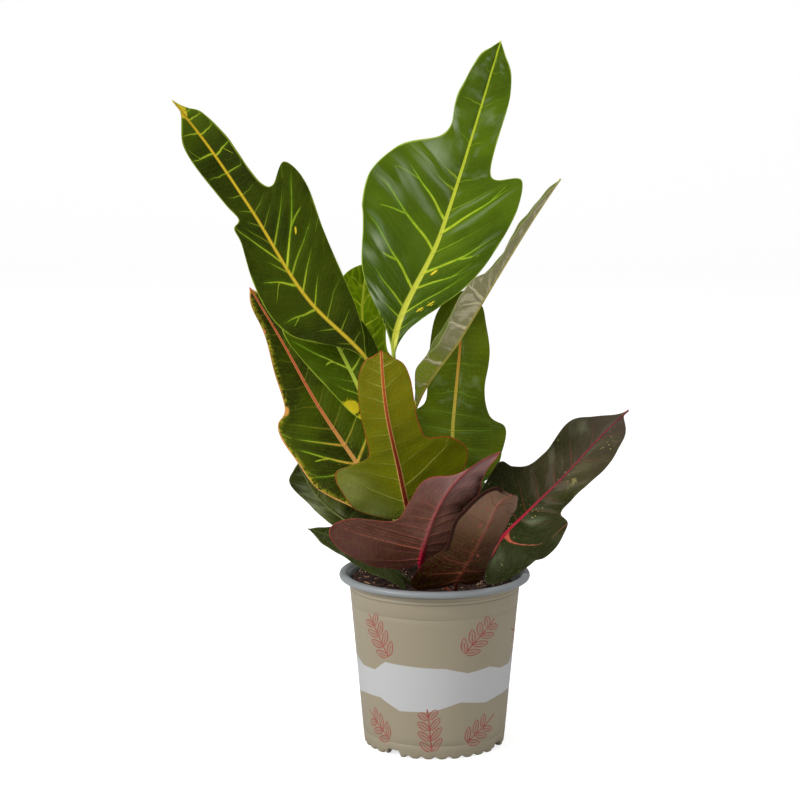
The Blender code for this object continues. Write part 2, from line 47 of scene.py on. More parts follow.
def put(tree, kind, inputs=None, **settings):
    # adds a node; an input is either a socket to link or a plain value
    node = tree.nodes.new(kind)
    for key, value in settings.items():
        setattr(node, key, value)
    for key, value in (inputs or {}).items():
        if isinstance(value, bpy.types.NodeSocket):
            tree.links.new(value, node.inputs[key])
        else:
            node.inputs[key].default_value = value
    return node


def calc(tree, what, *values, clamp=False):
    inputs = dict(enumerate(values))
    return put(tree, "ShaderNodeMath", inputs, operation=what, use_clamp=clamp).outputs[0]


def times(tree, first, second):
    return calc(tree, "MULTIPLY", first, second)


def over(tree, first, second):
    return calc(tree, "DIVIDE", first, second)


def minus(tree, first, second):
    return calc(tree, "SUBTRACT", first, second)


def unsigned(tree, value):
    return calc(tree, "ABSOLUTE", value)


def fade(tree, value, start, end, low=0.0, high=1.0):
    # goes smoothly from low to high while value goes from start to end
    inputs = {"Value": value, "From Min": start, "From Max": end, "To Min": low, "To Max": high}
    return put(tree, "ShaderNodeMapRange", inputs, interpolation_type="SMOOTHSTEP").outputs[0]


def blendColour(tree, share, first, second):
    return put(tree, "ShaderNodeMix", {0: share, 6: first, 7: second}, data_type="RGBA").outputs[2]


def noise(tree, place, scale, detail=2.0, rough=0.5):
    inputs = {"Vector": place, "Scale": scale, "Detail": detail, "Roughness": rough}
    return put(tree, "ShaderNodeTexNoise", inputs).outputs[0]


def objectPlace(tree):
    return put(tree, "ShaderNodeTexCoord").outputs["Object"]


def roughen(tree, shader, cloud, low, high):
    tree.links.new(fade(tree, cloud, 0.3, 0.7, low, high), shader.inputs["Roughness"])


def emboss(tree, shader, strength, distance, height):
    inputs = {"Strength": strength, "Distance": distance, "Height": height}
    tree.links.new(put(tree, "ShaderNodeBump", inputs).outputs[0], shader.inputs["Normal"])


def tone(red, green, blue):
    # a colour as it looks on a screen, 0 to 255, made linear
    made = [((c / 255 + 0.055) / 1.055) ** 2.4 if c > 10 else c / 255 / 12.92 for c in (red, green, blue)]
    return (*made, 1.0)


def newMaterial(name):
    made = bpy.data.materials.new(name)
    made.use_nodes = True
    return made, made.node_tree, made.node_tree.nodes["Principled BSDF"]


def newGroup(name, kind, inputs, outputs):
    # inputs and outputs are (name, socket type, default) and (name, socket type)
    tree = bpy.data.node_groups.new(name, kind)
    for label, socket, value in inputs:
        made = tree.interface.new_socket(label, in_out="INPUT", socket_type=socket)
        if value is not None:
            made.default_value = value
    for label, socket in outputs:
        tree.interface.new_socket(label, in_out="OUTPUT", socket_type=socket)
    return tree, tree.nodes.new("NodeGroupInput").outputs, tree.nodes.new("NodeGroupOutput").inputs


def meshObject(name, points, faces, materials, smooth=True):
    mesh = bpy.data.meshes.new(name)
    mesh.from_pydata([tuple(p) for p in points], [], faces)
    for material in materials:
        mesh.materials.append(material)
    if smooth:
        mesh.shade_smooth()
    made = bpy.data.objects.new(name, mesh)
    bpy.context.scene.collection.objects.link(made)
    return made


def addPiece(piece, node):
    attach(piece, "root")
    if node:
        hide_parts(node)


# camera and studio

studio = {
    "cameraPlace": (-0.0236, -1.6, 0.496), "cameraDown": 9.2, "lens": 108.1,
    "worldLight": 0.42, "floorTone": (205, 205, 205), "backdropGlow": 0.72,
    "keyPower": 32.0, "keyPlace": (-1.5, -1.0, 1.2), "keySize": 1.1,
    "fillPower": 5.0, "fillPlace": (1.4, -0.9, 0.9), "fillSize": 0.9,
    "topPower": 9.0, "topPlace": (0.1, 0.2, 1.8), "topSize": 1.0,
}


def softBox(name, place, size, power, target=(0.0, 0.0, 0.24)):
    lamp = bpy.data.lights.new(name, "AREA")
    lamp.shape = "SQUARE"
    lamp.size = size
    lamp.energy = power
    made = bpy.data.objects.new(name, lamp)
    made.location = place
    aim = np.array(target) - np.array(place)
    flat = math.hypot(aim[0], aim[1])
    made.rotation_euler = (math.atan2(flat, -aim[2]), 0.0, math.atan2(-aim[0], aim[1]))
    bpy.context.scene.collection.objects.link(made)


def setStudio():
    scene = bpy.context.scene
    lens = bpy.data.cameras.new("camera")
    lens.lens = studio["lens"]
    camera = bpy.data.objects.new("camera", lens)
    camera.location = studio["cameraPlace"]
    camera.rotation_euler = (math.radians(90 - studio["cameraDown"]), 0.0, 0.0)
    scene.collection.objects.link(camera)
    scene.camera = camera
    scene.view_settings.view_transform = "Standard"
    world = bpy.data.worlds.new("studio")
    scene.world = world
    world.use_nodes = True
    world.node_tree.nodes["Background"].inputs[0].default_value = (1.0, 1.0, 1.0, 1.0)
    seen = put(world.node_tree, "ShaderNodeLightPath").outputs["Is Camera Ray"]
    strength = fade(world.node_tree, seen, 0.0, 1.0, studio["worldLight"], 1.0)
    world.node_tree.links.new(strength, world.node_tree.nodes["Background"].inputs[1])
    softBox("keyLight", studio["keyPlace"], studio["keySize"], studio["keyPower"])
    softBox("fillLight", studio["fillPlace"], studio["fillSize"], studio["fillPower"])
    softBox("topLight", studio["topPlace"], studio["topSize"], studio["topPower"])
    # a floor that sweeps up into a backdrop far behind
    depths = np.concatenate([np.linspace(-4.0, 3.0, 12), 3.0 + 2.0 * np.sin(np.linspace(0.1, 1.57, 16))])
    heights = np.concatenate([np.zeros(12), 2.0 - 2.0 * np.cos(np.linspace(0.1, 1.57, 16))])
    points = []
    for y, z in zip([*depths, 5.0], [*heights, 6.0]):
        points += [(-6.0, y, z), (6.0, y, z)]
    faces = [(k, k + 1, k + 3, k + 2) for k in range(0, len(points) - 2, 2)]
    look, tree, shader = newMaterial("studioFloor")
    shader.inputs["Base Color"].default_value = tone(*studio["floorTone"])
    shader.inputs["Roughness"].default_value = 0.9
    shader.inputs["Specular IOR Level"].default_value = 0.0
    # the floor looks white to the camera but throws little light back on the plant
    seen = put(tree, "ShaderNodeLightPath").outputs["Is Camera Ray"]
    shader.inputs["Emission Color"].default_value = (1.0, 1.0, 1.0, 1.0)
    tree.links.new(times(tree, seen, studio["backdropGlow"]), shader.inputs["Emission Strength"])
    meshObject("studioFloor", points, faces, [look])


setStudio()
print("studio ready")

# leaves

# Each leaf:
#   root   where its stalk meets the stem: height and compass angle in degrees
#   stalk  a point that the stalk bends through
#   spine  the midrib's points from the blade's base to its tip
#   faces  which way the upper side looks, from the base to the tip
#   fold   how far both halves rise from flat, in degrees; cup: how much the margin lifts 30 mm out
#   ribs   (the rib's number, where it leaves the midrib, then for the left and the right
#          margin: how far along the midrib it ends, and how far out). A smooth curve
#          through them gives the ribs whose numbers are left out, and the tip comes next.
#   veins  for the left and the right half: (row at the midrib, row at the margin, strength,
#          share of the way where it ends, share where it forks, minus for a fork towards the base)

# The usual outline of the leaves at the back, the same on both sides: the rib's number,
# then where it starts and ends in shares of the blade's length, then millimetres out.
plainRibs = [
    (1, 0.03, 0.06, 14),
    (2, 0.11, 0.17, 27),
    (3, 0.20, 0.34, 33),
    (4, 0.31, 0.45, 30),
    (5, 0.40, 0.48, 19),
    (6, 0.52, 0.59, 15),
    (7, 0.68, 0.75, 17),
    (8, 0.83, 0.88, 13),
    (9, 0.94, 0.95, 5),
]


def plainVeins(count):
    return ([(k, k, 0.5) for k in range(1, count + 1)],) * 2


leafShapes = {
    "leaf_top_tall": dict(
        root=(213, 70),
        stalk=[(-26, 13, 246)],
        spine=[(-28, 17, 265), (4, 40, 345), (30, 54, 425), (45, 54, 476)],
        faces=[(0.05, -1.0, 0.35), (0.1, -1.0, 0.1), (0.15, -1.0, -0.1)],
        fold=(16, 10, 8), cup=(-2, -1),
        ribs=[
            (1, 5, 15, 6, 15, 6),
            (3, 30, 50, 43, 65, 31),
            (5, 70, 114, 61, 122, 45),
            (6, 88, 136, 50, 141, 43),
            (8, 127, 158, 19, 140, 20),
            (10, 180, 190, 18, 195, 17),
            (11, 205, 214, 12, 210, 13),
            (12, 220, 223, 5, 220, 6),
        ],
        veins=(
            [(2.0, 1.9, 0.3, 0.5), (2.75, 2.5, 0.55, 0.45), (3.2, 3.15, 0.75, 0.7),
             (3.88, 4.05, 1, 0.9, -0.36), (5.4, 5.15, 1, 0.9, -0.46), (6.65, 6.1, 1, 0.8, -0.58),
             (7.8, 6.4, 0.45, 0.6), (8.1, 7.0, 0.4, 0.8), (9.1, 8.8, 0.15), (10.1, 9.8, 0.3), (11, 11, 0.15),
             (12, 12, 0.15)],
            [(2.1, 2.0, 0.3, 0.5), (2.85, 3.75, 0.7, 0.85, 0.5), (3.95, 3.7, 0.75, 0.65, 0.48),
             (4.5, 4.4, 0.9, 0.8, -0.42), (5.3, 5.1, 0.3, 0.6), (6.15, 6.15, 1, 0.85, 0.6), (7.0, 6.8, 0.25),
             (8, 8, 0.2), (9, 9, 0.15), (10, 10, 0.15), (11, 11, 0.15), (12, 12, 0.15)])),
    "leaf_top_left": dict(
        root=(204, 160),
        stalk=[(-36, 8, 249)],
        spine=[(-46, 10, 263), (-85, 17, 302), (-125, 22, 365), (-155, 20, 410), (-175, 10, 437)],
        faces=[(0.1, -1.0, 0.35), (-0.05, -1.0, 0.25), (-0.15, -1.0, 0.0)],
        fold=(14, 12, 10), cup=(-2, -1),
        ribs=[
            (1, 5, 15, 6, 5, 4),
            (3, 27, 50, 27, 43, 26),
            (5, 60, 90, 24, 100, 37),
            (6, 77, 113, 18, 127, 42),
            (7, 95, 124, 17, 144, 37),
            (8, 115, 128, 11, 135, 22),
            (9, 135, 142, 13, 140, 16),
            (11, 185, 192, 13, 186, 14),
            (12, 202, 208, 2, 202, 11),
            (13, 210, 214, 0, 210, 5),
        ],
        veins=(
            [(2.0, 1.8, 0.3, 0.5), (3.15, 3.0, 0.4, 0.4), (4.3, 3.3, 0.7, 0.85, -0.45),
             (5.5, 4.8, 0.8, 0.8, -0.4), (6.1, 5.7, 0.45, 0.5), (6.5, 7.0, 0.8, 0.95), (7.3, 7.5, 0.3),
             (8, 8, 0.3, 0.7), (8.6, 8.6, 0.35, 0.7), (9.2, 9.2, 0.35, 0.7), (9.9, 9.8, 0.45, 0.9),
             (10.5, 10.4, 0.8, 1, 0.6), (11.3, 11.2, 0.7, 1), (12, 12, 0.8, 1), (12.7, 12.7, 0.8, 1)],
            [(2.0, 1.8, 0.3), (2.9, 2.6, 0.3, 0.7), (3.7, 3.5, 0.35, 0.9), (4.4, 4.5, 0.6, 0.5),
             (5.15, 5.05, 0.7, 0.6), (5.95, 5.2, 0.55, 0.8), (6.25, 6.6, 1, 0.95, -0.42),
             (7.2, 6.9, 0.6, 0.7), (7.9, 7.8, 0.3, 0.6), (8.5, 8.5, 0.25), (9.2, 9.2, 0.25),
             (9.9, 9.9, 0.6, 0.9), (10.4, 10.5, 0.9, 1, -0.5), (11.2, 11.3, 0.8, 1), (12, 12, 0.8, 1),
             (12.7, 12.7, 0.8, 1)])),
    "leaf_top_right": dict(
        root=(200, -30),
        stalk=[(-16, -10, 219)],
        spine=[(-14, -12, 231), (17, -24, 284), (46, -32, 334), (65, -34, 365), (81, -30, 388)],
        faces=[(-0.75, 0.1, 0.55), (-0.83, 0.05, 0.5), (-0.8, 0.0, 0.6)],
        fold=(38, 36, 34), cup=(0, 0),
        ribs=[
            (1, 8, 12, 8, 10, 3),
            (2, 23, 25, 16, 28, 17),
            (4, 60, 75, 22, 65, 18),
            (5, 77, 95, 16, 85, 25),
            (6, 90, 106, 12, 103, 22),
            (7, 103, 117, 9, 114, 11),
            (9, 138, 150, 9, 147, 9),
            (11, 172, 179, 3, 176, 3),
        ],
        veins=(
            [(2, 2, 0.4), (3, 3, 0.5), (4.5, 4.5, 0.6), (5.9, 5.9, 0.6), (7.5, 7.5, 0.3), (9, 9, 0.3),
             (10.4, 10.4, 0.3)],
            [(1.9, 1.6, 0.5, 1.1), (2.9, 2.65, 0.95, 1.1), (3.5, 3.3, 0.35, 0.7), (4.5, 4.3, 1, 1.1),
             (5.9, 4.8, 0.8, 0.9), (6.05, 5.75, 1, 1.2), (6.7, 6.9, 0.7, 1), (7.5, 7.4, 0.3, 0.8),
             (8.2, 8.2, 0.25), (9, 9, 0.3), (9.7, 9.7, 0.25), (10.4, 10.4, 0.35)])),
    "leaf_left": dict(
        root=(146, 170),
        stalk=[(-28, 8, 154)],
        spine=[(-36, 14, 165), (-53, 26, 188), (-80, 40, 226), (-108, 48, 275), (-127, 44, 308)],
        faces=[(0.1, -1.0, 0.45), (-0.05, -1.0, 0.3), (-0.1, -1.0, 0.1)],
        fold=(10, 8, 8), cup=(-3, -2),
        ribs=[
            (1, 5, -5, 11, 5, 8),
            (2, 19, 9, 22, 16, 20),
            (3, 30, 31, 33, 38, 34),
            (4, 45, 55, 34, 60, 38),
            (6, 72, 83, 31, 90, 20),
            (7, 90, 90, 21, 104, 17),
            (8, 110, 116, 15, 122, 16),
            (9, 134, 138, 9, 140, 13),
            (11, 167, 166, 5, 168, 4),
        ],
        veins=(
            [(1.4, 1.4, 0.2), (2.3, 2.3, 0.3), (2.75, 3.4, 0.6, 0.95), (3.05, 4.75, 1, 0.85, -0.42),
             (4.1, 5.35, 0.8, 0.75), (5.2, 6.1, 0.25, 0.8), (6.4, 6.9, 0.12), (7.3, 7.5, 0.1),
             (8.2, 8.3, 0.1), (9.1, 9.2, 0.12), (10, 10, 0.1)],
            [(1.5, 1.5, 0.2), (3.1, 4.1, 1, 0.6), (4.1, 4.6, 0.45, 0.7), (5.2, 5.4, 0.15), (6.4, 6.5, 0.1),
             (7.5, 7.5, 0.1), (8.5, 8.5, 0.1), (9.5, 9.5, 0.1), (10.4, 10.4, 0.1)])),
    "leaf_left_inner": dict(
        root=(180, 140),
        stalk=[(-33, 8, 204)],
        spine=[(-39, 12, 214), (-54, 23, 246), (-80, 39, 296), (-90, 42, 319)],
        faces=[(0.1, -1.0, 0.4), (0.0, -1.0, 0.2)],
        fold=(10, 8), cup=(-2, -2),
        ribs=[
            (1, 5, 8, 6, 10, 8),
            (2, 20, 21, 13, 24, 18),
            (4, 50, 64, 26, 66, 24),
            (5, 65, 88, 30, 82, 20),
            (6, 83, 106, 23, 100, 14),
            (8, 114, 124, 7, 114, 5),
        ],
        veins=(
            [(1.4, 1.5, 0.3), (2.4, 3.4, 0.7, 0.7), (3.1, 3.5, 0.3, 0.6), (3.75, 4.9, 1, 0.9, -0.3),
             (5.2, 5.7, 0.6, 0.8), (6.3, 6.5, 0.4), (7.3, 7.4, 0.3)],
            [(1.4, 1.5, 0.3), (2.4, 2.7, 0.5), (3.6, 3.6, 0.9, 0.7), (4.6, 4.8, 0.4), (5.7, 5.8, 0.4),
             (6.8, 6.9, 0.3)])),
    "leaf_back_upright": dict(
        root=(208, 110),
        stalk=[(-33, 24, 230)],
        spine=[(-38, 34, 237), (-47, 52, 262), (-50, 66, 290), (-46, 76, 322)],
        faces=[(0.1, -1.0, 0.5), (0.0, -1.0, 0.1)],
        fold=(10, 8), cup=(-2, -2),
        ribs=[
            (1, 7, 9, 7, 7, 8),
            (2, 20, 23, 14, 18, 18),
            (3, 32, 37, 17, 29, 15),
            (5, 58, 70, 16, 62, 16),
            (6, 71, 82, 17, 80, 12),
            (7, 84, 91, 11, 93, 8),
        ],
        veins=(
            [(1.3, 1.5, 0.5), (2.2, 2.5, 0.6), (3.3, 3.6, 0.7, 0.8, 0.5), (4.5, 4.8, 0.7), (5.6, 5.8, 0.7),
             (6.6, 6.7, 0.5)],
            [(1.3, 1.6, 0.5), (2.2, 2.8, 0.6), (3.4, 4.6, 0.9, 0.9), (4.5, 4.9, 0.9, 0.8, 0.6),
             (5.75, 6.6, 1, 1), (5.9, 6.65, 0.3), (6.8, 6.9, 0.6, 1)])),
    "leaf_front_middle": dict(
        root=(149, -82),
        stalk=[(-16, -22, 156)],
        spine=[(-18, -26, 165), (-24, -34, 195), (-33, -40, 240), (-36, -32, 275)],
        faces=[(0.0, 1.0, -0.1), (0.05, 1.0, 0.2), (0.05, 1.0, 0.5)],
        fold=(16, 12, 8), cup=(-2, -2),
        ribs=[
            (1, 2, 0, 18, -18, 13),
            (2, 8, 8, 33, 0, 32),
            (3, 14, 23, 44, 22, 43),
            (4, 20, 36, 48, 36, 44),
            (5, 30, 47, 38, 40, 32),
            (6, 45, 50, 23, 44, 19),
            (7, 58, 60, 20, 58, 18),
            (9, 88, 95, 18, 96, 17),
            (10, 100, 105, 14, 108, 12),
            (11, 108, 110, 6, 111, 6),
        ],
        veins=(
            [(1.2, 1.3, 0.2), (2.6, 2.8, 0.35), (3.9, 4.85, 1, 0.9), (5.3, 5.4, 0.3), (6.4, 6.4, 0.3),
             (7.3, 7.3, 0.3), (8.2, 8.2, 0.3), (9.0, 9.6, 0.6, 0.7), (10.3, 10.5, 0.8, 1), (11, 11, 0.4)],
            [(1.2, 1.5, 0.3), (2.1, 4.3, 1, 0.95), (4.5, 4.4, 0.5, 0.9), (5.4, 5.4, 0.4), (6.2, 6.2, 0.4),
             (7, 7, 0.5), (7.7, 7.7, 0.5), (8.4, 8.5, 0.6), (9.1, 9.1, 0.6), (9.8, 9.8, 0.6),
             (10.5, 10.5, 0.5)])),
    "leaf_right": dict(
        root=(163, 35),
        stalk=[(6, 10, 179)],
        spine=[(10, 13, 190), (13, 24, 220), (17, 40, 258), (20, 51, 285), (26, 57, 306)],
        faces=[(-0.1, -1.0, 0.4), (0.0, -1.0, 0.15)],
        fold=(12, 8), cup=(-2, -2),
        ribs=[
            (1, 5, -5, 10, -15, 19),
            (2, 10, 6, 22, 0, 30),
            (4, 29, 32, 30, 28, 36),
            (5, 41, 41, 21, 36, 25),
            (6, 59, 53, 20, 54, 20),
            (7, 80, 78, 21, 82, 21),
            (8, 102, 103, 19, 110, 14),
            (9, 116, 117, 11, 119, 7),
        ],
        veins=(
            [(1.2, 1.5, 0.4), (2.4, 2.6, 0.5), (3.5, 3.6, 0.4), (4.6, 4.6, 0.3), (5.6, 5.6, 0.3),
             (6.6, 6.6, 0.3), (7.6, 7.6, 0.3)],
            [(1.2, 1.8, 0.7), (2.4, 2.7, 0.5), (3.5, 3.6, 0.4), (4.6, 4.6, 0.3), (5.6, 5.6, 0.3),
             (6.6, 6.6, 0.3), (7.6, 7.6, 0.3)])),
    "leaf_front_mauve": dict(
        root=(119, -105),
        stalk=[(-10, -26, 121)],
        spine=[(-10, -34, 131), (-6, -46, 152), (1, -56, 173), (10, -64, 190), (28, -72, 208),
               (41, -76, 215)],
        faces=[(0.15, 0.75, 0.65), (0.2, 0.8, 0.55), (0.3, 0.9, 0.3)],
        fold=(0, 6, 8), cup=(0, 0),
        ribs=[
            (1, 5, 4, 12, -12, 13),
            (2, 12, 12, 24, -5, 39),
            (3, 17, 24, 30, 6, 60),
            (4, 22, 40, 32, 14, 63),
            (5, 30, 52, 28, 23, 51),
            (6, 37, 61, 22, 30, 24),
            (7, 46, 57, 15, 46, 19),
            (8, 56, 75, 18, 64, 17),
            (9, 68, 88, 12, 76, 5),
            (11, 97, 107, 3, 101, 0),
        ],
        veins=(
            [(1.2, 1.4, 0.3), (2.4, 3.0, 0.4), (3.4, 3.9, 0.4), (4.5, 4.8, 0.4), (5.6, 5.8, 0.35),
             (6.6, 6.7, 0.3), (7.6, 7.7, 0.3), (8.7, 8.7, 0.3), (9.8, 9.8, 0.3)],
            [(0.6, 1.1, 0.3, 0.9), (1.2, 2.2, 0.75, 0.95), (2.5, 4.3, 1, 0.97), (3.3, 4.6, 0.4),
             (4.1, 4.95, 0.6), (5.2, 5.5, 0.45), (6.4, 6.4, 0.55), (7.4, 7.15, 0.5), (8.3, 8.2, 0.4),
             (9.2, 9.2, 0.3), (10.1, 10.1, 0.2)])),
    "leaf_front_bronze": dict(
        root=(112.5, -62),
        stalk=[(13, -38, 113)],
        spine=[(14, -46, 121), (24, -60, 144), (34, -72, 167), (41, -76, 182), (49, -70, 186)],
        faces=[(-0.1, 0.75, 0.65), (-0.1, 0.85, 0.5), (0.0, 0.95, 0.3)],
        fold=(14, 10, 8), cup=(0, 0),
        ribs=[
            (1, 4, -12, 14, -15, 9),
            (2, 12, 0, 18, -15, 26),
            (4, 25, 24, 15, 12, 25),
            (5, 32, 35, 14, 23, 19),
            (7, 54, 60, 13, 52, 21),
            (8, 64, 87, 15, 66, 17),
            (9, 74, 91, 8, 76, 11),
            (10, 79, 90, 3, 79, 6),
        ],
        veins=(
            [(1.2, 1.6, 0.6), (2.3, 3.2, 0.8), (3.6, 4.6, 0.6), (4.8, 5.6, 0.5), (6, 6.6, 0.4),
             (7.2, 7.6, 0.4), (8.6, 8.8, 0.4)],
            [(1.2, 1.6, 0.6), (2.0, 3.4, 0.8), (3.2, 4.8, 0.7), (4.8, 5.8, 0.5), (6, 6.6, 0.4),
             (7.2, 7.6, 0.4), (8.6, 8.8, 0.4)])),
    "leaf_low_right": dict(
        root=(116, -5),
        stalk=[(39, 4, 128)],
        spine=[(45, 8, 138), (64, 14, 157), (87, 18, 179), (115, 14, 211), (131, 4, 229)],
        faces=[(-0.2, -1.0, 0.65), (-0.2, -1.0, 0.4), (-0.1, -1.0, 0.1)],
        fold=(10, 8, 8), cup=(-1, -1),
        ribs=[
            (1, 3, 6, 14, -24, 0),
            (2, 7, 12, 32, -32, 3),
            (3, 14, 13, 33, -24, 19),
            (4, 20, 37, 39, 13, 34),
            (5, 26, 42, 30, 40, 28),
            (6, 35, 50, 23, 43, 18),
            (7, 46, 65, 21, 55, 16),
            (9, 71, 95, 22, 95, 17),
            (10, 87, 106, 14, 112, 12),
            (12, 116, 123, 2, 124, 0),
        ],
        veins=(
            [(1.2, 1.5, 0.1), (2.4, 2.8, 0.1), (3.6, 3.9, 0.12), (5, 5.1, 0.1), (6.3, 6.3, 0.1),
             (7.6, 7.6, 0.1), (8.9, 8.9, 0.1), (10.2, 10.2, 0.1)],
            [(1.0, 2.2, 0.2), (2.2, 5.0, 1, 0.75), (4.1, 5.4, 0.12), (5.4, 5.9, 0.1), (6.6, 6.8, 0.1),
             (7.9, 8, 0.1), (9.2, 9.2, 0.1), (10.5, 10.5, 0.1)])),
    "leaf_low_back_left": dict(
        root=(127, 155),
        stalk=[(-28, 12, 132)],
        spine=[(-33, 16, 137), (-62, 32, 147), (-81, 44, 161), (-95, 50, 184)],
        faces=[(0.1, -0.8, 0.6), (0.0, -0.9, 0.3)],
        fold=(8, 8), cup=(-1, -1),
        ribs=[
            (1, 7, 5, 11, 3, 12),
            (3, 32, 40, 8, 30, 28),
            (4, 47, 58, 8, 58, 27),
            (6, 73, 81, 11, 90, 12),
            (7, 81, 86, 5, 92, 6),
        ],
        veins=plainVeins(7)),
    "leaf_low_left": dict(
        root=(113.5, -135),
        stalk=[(-15, -18, 114)],
        spine=[(-22, -18, 119), (-44, -12, 130), (-66, -6, 142), (-86, 0, 148)],
        faces=[(0.1, -0.6, 0.8), (0.0, -0.8, 0.6)],
        fold=(8, 8), cup=(-1, -1),
        ribs=[
            (1, 8, -8, 8, 10, 7),
            (2, 19, 8, 10, 24, 12),
            (4, 47, 44, 10, 50, 13),
            (5, 61, 58, 8, 60, 6),
            (6, 68, 66, 4, 67, 3),
        ],
        veins=plainVeins(6)),
    "leaf_back_low": dict(
        root=(114, 75),
        stalk=[(10, 34, 124)],
        spine=[(12, 44, 134), (19, 78, 158), (26, 112, 176), (29, 132, 180)],
        faces=[(0.0, -0.4, 0.9), (0.0, -0.3, 0.95)],
        fold=(12, 8), cup=(-2, -3),
        ribs=plainRibs,
        veins=plainVeins(9)),
    "leaf_back_right": dict(
        root=(133, 60),
        stalk=[(10, 28, 150)],
        spine=[(14, 38, 160), (16, 66, 188), (14, 96, 206), (14, 118, 210)],
        faces=[(-0.2, -0.6, 0.8), (-0.1, -0.3, 0.9)],
        fold=(12, 8), cup=(-2, -3),
        ribs=plainRibs,
        veins=plainVeins(9)),
    "leaf_back_left": dict(
        root=(137, 115),
        stalk=[(-22, 30, 152)],
        spine=[(-27, 38, 165), (-46, 70, 200), (-58, 100, 222), (-64, 118, 228)],
        faces=[(0.2, -0.6, 0.8), (0.1, -0.3, 0.9)],
        fold=(12, 8), cup=(-2, -3),
        ribs=plainRibs,
        veins=plainVeins(9)),
}

leafBuild = {
    "lamina": 0.7, "marginThin": 0.35, "keelBase": 2.2, "keelTip": 0.9, "stalkRadius": 1.4,
    "jointGap": 0.6, "rowsPerRib": 9, "stalkRows": 14, "quilt": 0.45, "ripple": 0.5,
    "stalkEdge": 30.0, "midribRelief": 0.25, "midribHalf": (1.3, 0.6),
    "shares": (0, 0.02, 0.045, 0.075, 0.11, 0.16, 0.22, 0.29, 0.37, 0.45, 0.53, 0.61, 0.69, 0.77,
               0.84, 0.9, 0.95, 0.985, 1),
}
stemShape = {
    "axis": [(-2, 0, 86), (-2, 0, 98), (-2, 0, 108), (-9, -1, 140), (-20, 1, 185), (-25, 3, 226)],
    "soilTop": 108.0, "lowRadius": 5.0, "topRadius": 3.2, "budLength": 9.0,
}


def through(knots, values, places):
    # a smooth curve through the values at the knots, read at the places
    knots = np.asarray(knots, float)
    values = np.asarray(values, float).reshape(len(knots), -1)
    places = np.atleast_1d(np.asarray(places, float))
    span = np.diff(knots)[:, None]
    rise = np.diff(values, axis=0) / span
    slope = np.empty_like(values)
    slope[1:-1] = (span[1:] * rise[:-1] + span[:-1] * rise[1:]) / (span[1:] + span[:-1])
    if len(knots) > 2:
        slope[0] = 1.5 * rise[0] - 0.5 * slope[1]
        slope[-1] = 1.5 * rise[-1] - 0.5 * slope[-2]
    else:
        slope[:] = rise[0]
    at = np.clip(np.searchsorted(knots, places, side="right") - 1, 0, len(knots) - 2)
    width = span[at]
    q = (places - knots[at])[:, None] / width
    start = (2 * q**3 - 3 * q**2 + 1) * values[at] + (q**3 - 2 * q**2 + q) * width * slope[at]
    end = (3 * q**2 - 2 * q**3) * values[at + 1] + (q**3 - q**2) * width * slope[at + 1]
    return start + end


def unit(vectors):
    return vectors / np.linalg.norm(vectors, axis=-1, keepdims=True)


def smoothStep(values, start, end):
    q = np.clip((values - start) / (end - start), 0, 1)
    return q * q * (3 - 2 * q)


def stemCentre(height):
    axis = np.array(stemShape["axis"], float)
    return np.array([np.interp(height, axis[:, 2], axis[:, k]) for k in range(2)] + [height])


def stemRadius(height):
    ends = (stemShape["soilTop"], stemShape["axis"][-1][2])
    return float(np.interp(height, ends, (stemShape["lowRadius"], stemShape["topRadius"])))


def besideStem(height, degrees, out):
    angle = math.radians(degrees)
    reach = stemRadius(height) + out
    return stemCentre(height) + reach * np.array([math.cos(angle), math.sin(angle), 0.0])


class Midrib:
    # the leaf's centre line, with a direction, an upper side and a right side all along it

    def __init__(self, leaf):
        height, degrees = leaf["root"]
        first = [besideStem(height, degrees, leafBuild["jointGap"]), besideStem(height + 0.6, degrees, 5.0)]
        points = np.array(first + leaf["stalk"] + leaf["spine"], float)
        knots = np.concatenate([[0], np.cumsum(np.linalg.norm(np.diff(points, axis=0), axis=1))])
        fine = np.linspace(0, knots[-1], 801)
        self.line = through(knots, points, fine)
        steps = np.linalg.norm(np.diff(self.line, axis=0), axis=1)
        self.along = np.concatenate([[0], np.cumsum(steps)])
        self.stalk = float(np.interp(knots[2 + len(leaf["stalk"])], fine, self.along))
        self.blade = self.along[-1] - self.stalk
        self.leaf = leaf

    def point(self, distance):
        inside = np.clip(distance, 0, self.along[-1])
        return np.stack([np.interp(inside, self.along, self.line[:, k]) for k in range(3)], 1)

    def surface(self, u, out, side):
        # points on the blade, out millimetres from the midrib, and the blade's normals
        start = np.where(out > 2 * leafBuild["stalkRadius"], self.stalk, 0.0)
        wanted = u + self.stalk
        distance = np.clip(wanted, start, self.along[-1])
        direction = unit(self.point(distance + 1.5) - self.point(distance - 1.5))
        centre = self.point(distance) + direction * (wanted - distance)[:, None]
        share = np.clip(u / self.blade, 0, 1)
        faces = self.leaf["faces"]
        looks = through(np.linspace(0, 1, len(faces)), faces, share)
        upper = unit(looks - (looks * direction).sum(1, keepdims=True) * direction)
        right = np.cross(direction, upper)
        fold = self.leaf["fold"]
        angle = np.radians(through(np.linspace(0, 1, len(fold)), fold, share))[:, 0]
        cup = self.leaf["cup"][0] + (self.leaf["cup"][1] - self.leaf["cup"][0]) * share
        rise = out * np.sin(angle) + cup * (out / 30.0) ** 2
        points = centre + (side * out * np.cos(angle))[:, None] * right + rise[:, None] * upper
        tilt = np.sin(angle) + 2 * cup * out / 900.0
        return points, unit(upper - (side * tilt)[:, None] * right)


